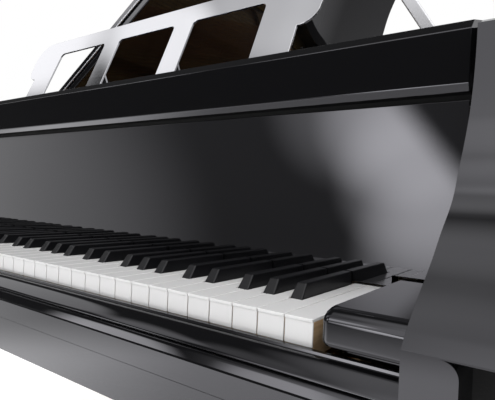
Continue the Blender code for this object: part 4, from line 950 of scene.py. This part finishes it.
def make_prop():
    """Prop with rounded edges, its pivot screw and bracket."""
    dress("lid_prop", look="satin_steel")
    dress("prop_bracket")
    pivot = Vector(joints["lid_prop_fold"]["pos_m"])
    head = turned(PROP_SCREW, (pivot.x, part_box("lid_prop")[0].y, pivot.z), (0, -1, 0), 24)
    trim("prop_screw", head, "lid_prop", "polished_steel")


# Case and sounding parts

def make_case():
    for node in ("rim", "inner_rim", "soundboard"):
        low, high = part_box(node)
        dress(node, prism(refined(flat_faces(node, 2, 1, high.z)[0]), "z", low.z, high.z))
    for node in ("case_braces", "wrest_plank", "string_bridge"):
        dress(node)
    make_plate()
    make_strings()
    make_dampers()
    make_hammers()
    make_lid_hinge()


def rib_places():
    """Middles of the plate's struts that carry a rib, on the treble side of the bass strings."""
    solid = welded("iron_plate")
    depths = [round(v.co.y, 4) for v in solid.verts]
    web = max(sorted(set(depths)), key=depths.count)  # the row where all struts start
    xs = sorted({round(v.co.x, 4) for v in solid.verts if abs(v.co.y - web) < WELD})
    solid.free()
    middles = [(a + b) / 2 for a, b in zip(xs, xs[1:]) if STRUT_WIDTH[0] < b - a < STRUT_WIDTH[1]]
    bass_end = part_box("bass_strings")[1].x
    return [x for x in middles if x > bass_end + RIB_HALF]


def make_plate():
    """Iron plate with ribs over its struts and bolts round its flange."""
    dress("iron_plate")
    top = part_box("iron_plate")[1].z
    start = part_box("dampers")[1].y + RIB_START
    ribs = []
    for x in rib_places():
        end = far_side(x) - RIB_END
        profile = [(start, top), (start + RIB_SLOPES[0], top + RIB_RISE),
                   (end - RIB_SLOPES[1], top + RIB_RISE), (end, top)]
        ribs.append(prism(profile, "x", x - RIB_HALF, x + RIB_HALF))
    trim("plate_ribs", gather(ribs), "case", "plate_bronze", RIB_EDGE)
    places = walk(wall_line(), BOLT_INSET, BOLT_PITCH, BOLT_START)
    bolts = [turned(BOLT, (x, y, top + SKIN), sides=20) for x, y in places]
    trim("plate_bolts", gather(bolts), "case", "polished_steel")


def wall_line():
    """The rim's inner wall in plan, from the treble front round the tail to the bass front."""
    outline = flat_faces("soundboard", 2, 1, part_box("soundboard")[1].z)[0]
    front = min(y for x, y in outline)
    ends = [i for i, spot in enumerate(outline) if spot[1] < front + WALL_STEP]
    treble = max(ends, key=lambda i: outline[i][0])
    line = outline[treble:] + outline[:treble]
    if abs(line[1][1] - front) < WALL_STEP:
        line = [line[0]] + line[:0:-1]
    return line


def walk(line, inset, pitch, start):
    """Places along a line, moved inwards, one pitch apart."""
    places = []
    travelled = -start
    for (x0, y0), (x1, y1) in zip(line, line[1:]):
        run = math.hypot(x1 - x0, y1 - y0)
        while run > 0 and travelled + run >= 0:
            t = -travelled / run
            nx, ny = -(y1 - y0) / run, (x1 - x0) / run
            places.append((x0 + (x1 - x0) * t + nx * inset, y0 + (y1 - y0) * t + ny * inset))
            travelled -= pitch
        travelled += run
    return places


def far_side(x):
    """Depth at which the rim's inner wall crosses x, at the tail."""
    line = wall_line()
    depths = []
    for (x0, y0), (x1, y1) in zip(line, line[1:]):
        if min(x0, x1) <= x <= max(x0, x1) and x0 != x1:
            depths.append(y0 + (y1 - y0) * (x - x0) / (x1 - x0))
    return max(depths)


def treble_lines():
    """Each treble string's x and depth at its start and end, its group and its place in the group."""
    low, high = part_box("treble_strings")
    start = low.y + STRING_START
    width = high.x - low.x - 2 * TREBLE_INSET
    clear = RIB_HALF + 2 * STRING_SPACING
    ribs = rib_places()
    lines = []
    for i in range(STRING_GROUPS):
        middle = low.x + TREBLE_INSET + width * i / (STRING_GROUPS - 1)
        near = [rib for rib in ribs if abs(middle - rib) < clear]
        if near:
            middle = near[0] + (clear if middle > near[0] else -clear)
        for k in (-1, 0, 1):
            x = middle + k * STRING_SPACING
            lines.append((x, start, x, min(far_side(x) - TREBLE_END, high.y), i, k))
    return lines


def bass_lines():
    """The same of the bass strings, which run askew."""
    low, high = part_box("bass_strings")
    drift = 0
    for outline in flat_faces("bass_strings", 2, 1, high.z):
        left, right, _, _ = extent(outline)
        drift = max(drift, right - left)
    count = BASS_SINGLES + BASS_DOUBLES
    left, right = low.x + BASS_INSET[0], high.x - drift - BASS_INSET[1]
    lines = []
    for i in range(count):
        x = left + (right - left) * i / (count - 1)
        places = [x] if i < BASS_SINGLES else [x - BASS_PAIR_HALF, x + BASS_PAIR_HALF]
        for k, place in enumerate(places):
            lines.append((place, low.y + STRING_START, place + drift, high.y, i, k))
    return lines


def make_strings():
    """Strings, their tuning pins with coils, agraffes and hitch pins."""
    low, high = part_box("treble_strings")
    sets = {"treble_strings": (treble_lines(), (low.z + high.z) / 2),
            "bass_strings": (bass_lines(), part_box("bass_strings")[1].z - BASS_LEVEL)}
    plate_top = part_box("iron_plate")[1].z
    wound = {"treble_strings": [], "bass_strings": []}
    windings, pins, coils, studs, hitches = [], [], [], [], []
    for name, (lines, level) in sets.items():
        (first, by_group, by_string), radius, (half, rise) = STRING_SETS[name]
        for x, start, end_x, end, group, k in lines:
            pin_y = start - (first + by_group * (group % 3) + by_string * k) * MM
            wound[name].append([(x, pin_y, plate_top + WIRE_LEVEL), (x, start, level), (end_x, end, level)])
            if name == "bass_strings":
                windings.append([(x, start + BASS_BARE[0], level), (end_x, end - BASS_BARE[1], level)])
            add_pin(pins, coils, x + PIN_SHIFT, pin_y, plate_top)
            hitches.append(rod((end_x, end, plate_top), (end_x, end, level + HITCH_RISE), radius * MM, 8))
            if k == 0:
                studs.append(cube((x - half * MM, start - AGRAFFE_HALF_DEPTH, plate_top),
                                  (x + half * MM, start + AGRAFFE_HALF_DEPTH, level + rise * MM)))
    trim("treble_speaking_lengths", wires(wound["treble_strings"], STRING_RADIUS), "case", "string_steel")
    trim("bass_cores", wires(wound["bass_strings"], STRING_RADIUS), "case", "string_steel")
    trim("bass_windings", wires(windings, BASS_RADIUS, 2), "case", "string_copper")
    for name, solids in (("tuning_pins", pins), ("pin_coils", coils), ("hitch_pins", hitches)):
        trim(name, gather(solids), "case", "string_steel")
    trim("agraffes", gather(studs), "case", "brass", AGRAFFE_EDGE)


def add_pin(pins, coils, x, y, foot):
    """One tuning pin with its squared head, and the coils of wire round it."""
    neck, top = foot + PIN_RISE - PIN_HEAD, foot + PIN_RISE
    head, tip = [PIN_RADIUS * share for share in PIN_HEAD_SHARES]
    pins.append(rod((x, y, foot), (x, y, neck), PIN_RADIUS, 10))
    pins.append(rod((x, y, neck), (x, y, top), head, 4, tip))
    profile = [(PIN_RADIUS + out, height) for out, height in COIL]
    coils.append(turned(profile, (x, y, foot + COIL_LEVEL), sides=10))


def make_string_rests():
    """Brass rests under the strings, which stand for the frame's plain strings."""
    bass_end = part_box("treble_strings")[0].x - REST_SPACE
    for node in ("treble_strings", "bass_strings"):
        low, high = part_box(node)
        end = min(high.x, bass_end) if node == "bass_strings" else high.x
        dress(node, cube(low, (end, low.y + REST_DEPTH, low.z + REST_HEIGHT)), node + "_rest", "brass")


def make_dampers():
    """Damper heads of lacquered wood on white felt, each with its wire."""
    low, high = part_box("dampers")
    pitch = (high.x - low.x) / (DAMPER_COUNT - 1 + DAMPER_SHARE)
    felt_top = low.z + DAMPER_FELT
    side_inset, end_inset = DAMPER_FELT_INSET
    behind, below, short, radius = DAMPER_WIRE
    heads, felts, rods = [], [], []
    for i in range(DAMPER_COUNT):
        left = low.x + i * pitch
        right = left + pitch * DAMPER_SHARE
        middle = (left + right) / 2
        heads.append(cube((left, low.y, felt_top), (right, high.y, high.z)))
        section = [(left + side_inset, felt_top), (right - side_inset, felt_top),
                   (middle + DAMPER_TIP_HALF, low.z), (middle - DAMPER_TIP_HALF, low.z)]
        felts.append(prism(section, "y", low.y + end_inset, high.y - end_inset))
        wire_y = high.y + behind
        rods.append(rod((middle, wire_y, low.z + below), (middle, wire_y, high.z + short), radius, 8))
    dress("dampers", gather(heads), "damper_heads", "lacquer")
    trim("damper_felts", gather(felts), "dampers", "damper_felt")
    trim("damper_wires", gather(rods), "dampers", "polished_steel")


def make_hammers():
    """Egg-shaped felt hammers on their shanks, over the rail that carries them."""
    low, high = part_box("hammers")
    pitch = (high.x - low.x) / (HAMMER_COUNT - 1 + 2 * HAMMER_SHARE)
    depth, height = HAMMER_RADII
    foot, top = [high.z - level for level in SHANK_LEVELS]
    felts, shanks = [], []
    for i in range(HAMMER_COUNT):
        x = low.x + pitch * (i + HAMMER_SHARE)
        felts.append(ball((x, (low.y + high.y) / 2, high.z - height), (pitch * HAMMER_SHARE, depth, height)))
        shanks.append(cube((x - SHANK_HALF, low.y + SHANK_INSET, foot),
                           (x + SHANK_HALF, high.y - SHANK_INSET, top)))
    rail_top = high.z - RAIL_LEVEL
    shanks.append(cube((low.x, low.y, rail_top - RAIL_HEIGHT), (high.x, high.y, rail_top)))
    for k in range(POST_COUNT):
        x = low.x + POST_HALF + (high.x - low.x - 2 * POST_HALF) * k / (POST_COUNT - 1)
        shanks.append(cube((x - POST_HALF, low.y, low.z), (x + POST_HALF, high.y, rail_top - POST_TOP)))
    dress("hammers", gather(felts), "hammer_felts")
    trim("hammer_shanks", gather(shanks), "action", "key_wood")


def make_lid_hinge():
    """The bass side's long hinge: knuckles round one pin, and a screwed leaf down the case."""
    low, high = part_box("lid_hinge")
    axis = Vector(joints["lid_closing"]["pos_m"])
    count = int((high.y - low.y) / (2 * KNUCKLE_PITCH))
    pitch = (high.y - low.y) / count
    start, end = (axis.x, low.y, axis.z), (axis.x, high.y, axis.z)
    solids = knuckles(start, 1, count, pitch, KNUCKLE_SPACE, LID_KNUCKLE)
    solids.append(rod(start, end, LID_KNUCKLE * HINGE_PIN, 12))
    leaf = high.x - LID_LEAF
    solids.append(cube((leaf, low.y, low.z), (high.x, high.y, axis.z)))
    dress("lid_hinge", gather(solids), "lid_hinge_knuckles")
    screws = []
    for i in range(1, count, 2):
        screws.append(turned(LID_SCREW, (leaf, low.y + i * pitch, low.z + LID_SCREW_RISE), (-1, 0, 0), 16))
    trim("lid_hinge_screws", gather(screws), "case", "brass")


# Legs, casters and lyre

def make_leg(node):
    """Square tapered leg with rounded edges and a brass ferrule at its foot."""
    dress(node)
    low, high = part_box(node)
    x, y = (low.x + high.x) / 2, (low.y + high.y) / 2
    outline = rectangle(x - FERRULE_HALF, x + FERRULE_HALF, y - FERRULE_HALF, y + FERRULE_HALF)
    foot, top = [low.z + level for level in FERRULE_LEVELS]
    trim(node + "_ferrule", prism(outline, "z", foot, top), "case", "brass", FERRULE_EDGE)


def make_caster(name):
    """Brass fork, and a wheel with two rounded treads and hub caps."""
    fork, node = "caster_fork_" + name, "caster_wheel_" + name
    dress(fork)
    joint = joints["wheel_spin_" + name]
    axis = Vector(joint["axis"]).normalized()
    centre = Vector(joint["pos_m"])
    low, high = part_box(node)
    radius = (high.z - low.z) / 2
    half = [(WHEEL_HUB, WHEEL_HALF)] + [(radius - inset, out) for inset, out in WHEEL_TREAD]
    profile = [(r, -out) for r, out in half] + half[::-1]
    dress(node, turned(profile, centre, axis, 48))
    caps = [turned(CASTER_CAP, centre + axis * side * CASTER_CAP_REACH, axis * side, 24) for side in (-1, 1)]
    trim("caster_caps_" + name, gather(caps), body_of[fork], "brass")


def make_lyre():
    """Lyre columns and head, pedal box with slot plates, brace, pedal rods and pedals."""
    for node in ("lyre_frame", "pedal_box", "lyre_brace"):
        dress(node)
    box_low, box_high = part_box("pedal_box")
    frame_low, frame_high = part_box("lyre_frame")
    rod_y = (frame_low.y + frame_high.y) / 2
    plates, rods = [], []
    for name in ("left", "middle", "right"):
        dress("pedal_" + name)
        x = joints[f"pedal_{name}_press"]["pos_m"][0]
        loops = [rectangle(x - half, x + half, foot, top) for half, foot, top in (SLOT_PLATE, PEDAL_SLOT)]
        plates.append(prism(loops[0], "y", box_low.y - SLOT_PLATE_DEPTH, box_low.y - SKIN, loops[1:]))
        rod_x = KEYBOARD_MIDDLE + (x - KEYBOARD_MIDDLE) * PEDAL_ROD_SHARE
        rod_top = frame_high.z - PEDAL_ROD_END
        rods.append(rod((rod_x, rod_y, box_high.z), (rod_x, rod_y, rod_top), PEDAL_ROD_RADIUS, 20))
    trim("pedal_slot_plates", gather(plates), "case", "brass", SLOT_PLATE_EDGE)
    trim("pedal_rods", gather(rods), "case", "brass")


def make_stand():
    for name in ("front_bass", "front_treble", "rear"):
        make_leg("leg_" + name)
        make_caster(name)
    make_lyre()


# Studio

def show(name, solid, made, **settings):
    """A thing of the studio, which isn't part of the piano."""
    mesh = to_mesh(solid, name, outwards=False)
    mesh.materials.append(made)
    thing = placed(name, mesh)
    for key, value in settings.items():
        setattr(thing, key, value)


def make_floor():
    """Pale floor under the piano that fades away round it, so the studio's dome shows beyond it."""
    solid = bmesh.new()
    bmesh.ops.create_circle(solid, cap_ends=True, segments=64, radius=FLOOR_RADIUS)
    glow = {"Emission Color": (1.0, 1.0, 1.0, 1.0), "Emission Strength": FLOOR_GLOW}
    made = material("floor", (0.86, 0.86, 0.86), 0.55, 0.0, glow,
                    tone=((0.8, 2.0), (0.88, 0.88, 0.88), (0.84, 0.84, 0.845)))
    tree = made.node_tree
    place = add_node(tree, "ShaderNodeTexCoord", {}).outputs["Object"]
    reach = add_node(tree, "ShaderNodeVectorMath", {0: place}, operation="LENGTH").outputs["Value"]
    fade = remap(tree, reach, 1.0, 0.0, FLOOR_FADE, FLOOR_RADIUS)
    tree.links.new(fade, tree.nodes["Principled BSDF"].inputs["Alpha"])
    show("floor", solid, made, location=((cad_low.x + cad_high.x) / 2, (cad_low.y + cad_high.y) / 2, 0))


def towards(azimuth, elevation):
    """Unit vector of a place in the dome. Azimuth 0 is in front of the piano, 90 its bass side."""
    turn, rise = math.radians(azimuth), math.radians(elevation)
    return Vector((-math.sin(turn) * math.cos(rise), -math.cos(turn) * math.cos(rise), math.sin(rise)))


def edge(tree, direction, axis, low, high, strength=1.0):
    """A soft step in the dome: nothing where the direction's part along an axis is low, full where high."""
    dot = add_node(tree, "ShaderNodeVectorMath", {0: direction, 1: axis}, operation="DOT_PRODUCT")
    inputs = {"Value": dot.outputs["Value"], "From Min": low, "From Max": high, "To Max": strength}
    return add_node(tree, "ShaderNodeMapRange", inputs, interpolation_type="SMOOTHSTEP").outputs["Result"]


def lobe(tree, direction, azimuth, elevation, inner, outer, strength):
    """A soft round light in the dome."""
    low, high = math.cos(math.radians(outer)), math.cos(math.radians(inner))
    return edge(tree, direction, towards(azimuth, elevation), low, high, strength)


def rising(tree, direction, low, high, strength=1.0):
    """Light that comes up from one elevation to another, upwards or downwards."""
    up = 1 if high > low else -1
    ends = [up * math.sin(math.radians(elevation)) for elevation in (low, high)]
    return edge(tree, direction, (0, 0, up), *ends, strength)


def joined(tree, operation, values):
    """Several values added or multiplied."""
    total = values[0]
    for value in values[1:]:
        total = add_node(tree, "ShaderNodeMath", {0: total, 1: value}, operation=operation).outputs["Value"]
    return total


def make_window():
    """A soft bright screen before the piano, out of the camera's sight, that the lacquer mirrors."""
    solid = bmesh.new()
    spots = rectangle(-WINDOW_REACH, WINDOW_RIGHT, -WINDOW_HALF_HEIGHT, WINDOW_HALF_HEIGHT)
    solid.faces.new([solid.verts.new((x, -WINDOW_AWAY, z)) for x, z in spots])
    made = bpy.data.materials.new("window")
    made.use_nodes = True
    tree = made.node_tree
    tree.nodes.clear()
    place = add_node(tree, "ShaderNodeTexCoord", {}).outputs["Object"]
    direction = add_node(tree, "ShaderNodeVectorMath", {0: place}, operation="NORMALIZE").outputs["Vector"]
    first, second = [towards(*spot) for spot in WINDOW_SIDE]
    bright = joined(tree, "ADD", [lobe(tree, direction, *values) for values in WINDOW])
    bright = joined(tree, "MULTIPLY", [
        bright, edge(tree, direction, UNDER_BEAM, *UNDER_BEAM_EDGE),
        edge(tree, direction, first.cross(second).normalized(), *WINDOW_SIDE_EDGE),
        rising(tree, direction, *WINDOW_FOOT)])
    light = add_node(tree, "ShaderNodeEmission", {"Color": LIGHT_COLOUR, "Strength": WINDOW_FULL})
    clear = add_node(tree, "ShaderNodeBsdfTransparent", {})
    share = remap(tree, bright, 0.0, 1.0, 0.0, WINDOW_FULL)
    inputs = {"Fac": share, 1: clear.outputs["BSDF"], 2: light.outputs["Emission"]}
    blend = add_node(tree, "ShaderNodeMixShader", inputs)
    add_node(tree, "ShaderNodeOutputMaterial", {"Surface": blend.outputs["Shader"]})
    show("window", solid, made, location=KEY_CORNER + WINDOW_EYE,
         visible_camera=False, visible_diffuse=False)


def make_world():
    """White behind everything, and for the light a dome with soft lamps in it."""
    world = bpy.data.worlds.new("studio")
    bpy.context.scene.world = world
    world.use_nodes = True
    tree = world.node_tree
    tree.nodes.clear()
    direction = add_node(tree, "ShaderNodeTexCoord", {}).outputs["Generated"]
    base = add_node(tree, "ShaderNodeValue", {}).outputs[0]
    base.default_value = DARK
    high = joined(tree, "ADD", [lobe(tree, direction, *values) for values in HIGH_LIGHTS])
    high = joined(tree, "MULTIPLY", [high, edge(tree, direction, OVER_BEAM, *OVER_BEAM_EDGE)])
    grey = edge(tree, direction, FRONT, *FRONT_EDGE, LOW_GREY)
    low = joined(tree, "ADD", [lobe(tree, direction, *LOW_LIGHT), grey])
    low = joined(tree, "MULTIPLY", [low, edge(tree, direction, UNDER_BEAM, *UNDER_BEAM_EDGE)])
    ground = joined(tree, "ADD", [rising(tree, direction, *values) for values in GROUND])
    ground = joined(tree, "MULTIPLY", [ground, edge(tree, direction, FRONT, *GROUND_EDGE)])
    total = joined(tree, "ADD", [base, high, low, ground, rising(tree, direction, *LOW_BACK)])
    dome = add_node(tree, "ShaderNodeBackground", {"Color": LIGHT_COLOUR, "Strength": total})
    backdrop = add_node(tree, "ShaderNodeBackground", {"Color": (1.0, 1.0, 1.0, 1.0)})
    seen = add_node(tree, "ShaderNodeLightPath", {}).outputs["Is Camera Ray"]
    inputs = {"Fac": seen, 1: dome.outputs["Background"], 2: backdrop.outputs["Background"]}
    choice = add_node(tree, "ShaderNodeMixShader", inputs)
    add_node(tree, "ShaderNodeOutputWorld", {"Surface": choice.outputs["Shader"]})


def make_camera():
    """The camera of the photograph, near the treble end of the keyboard."""
    data = bpy.data.cameras.new("camera")
    data.lens = CAMERA_LENS
    data.clip_start = CAMERA_NEAR
    camera = placed("camera", data)
    camera.matrix_world = (Matrix.Translation(KEY_CORNER + CAMERA_PLACE)
                           @ Matrix.Rotation(CAMERA_YAW, 4, "Z")
                           @ Matrix.Rotation(math.pi / 2 + CAMERA_PITCH, 4, "X")
                           @ Matrix.Rotation(CAMERA_ROLL, 4, "Z"))
    bpy.context.scene.camera = camera


make_keyboard()
make_front()
make_desk()
make_lid()
make_case()
make_string_rests()
make_stand()
make_floor()
make_window()
make_world()
make_camera()
bpy.context.scene.view_settings.view_transform = "Standard"
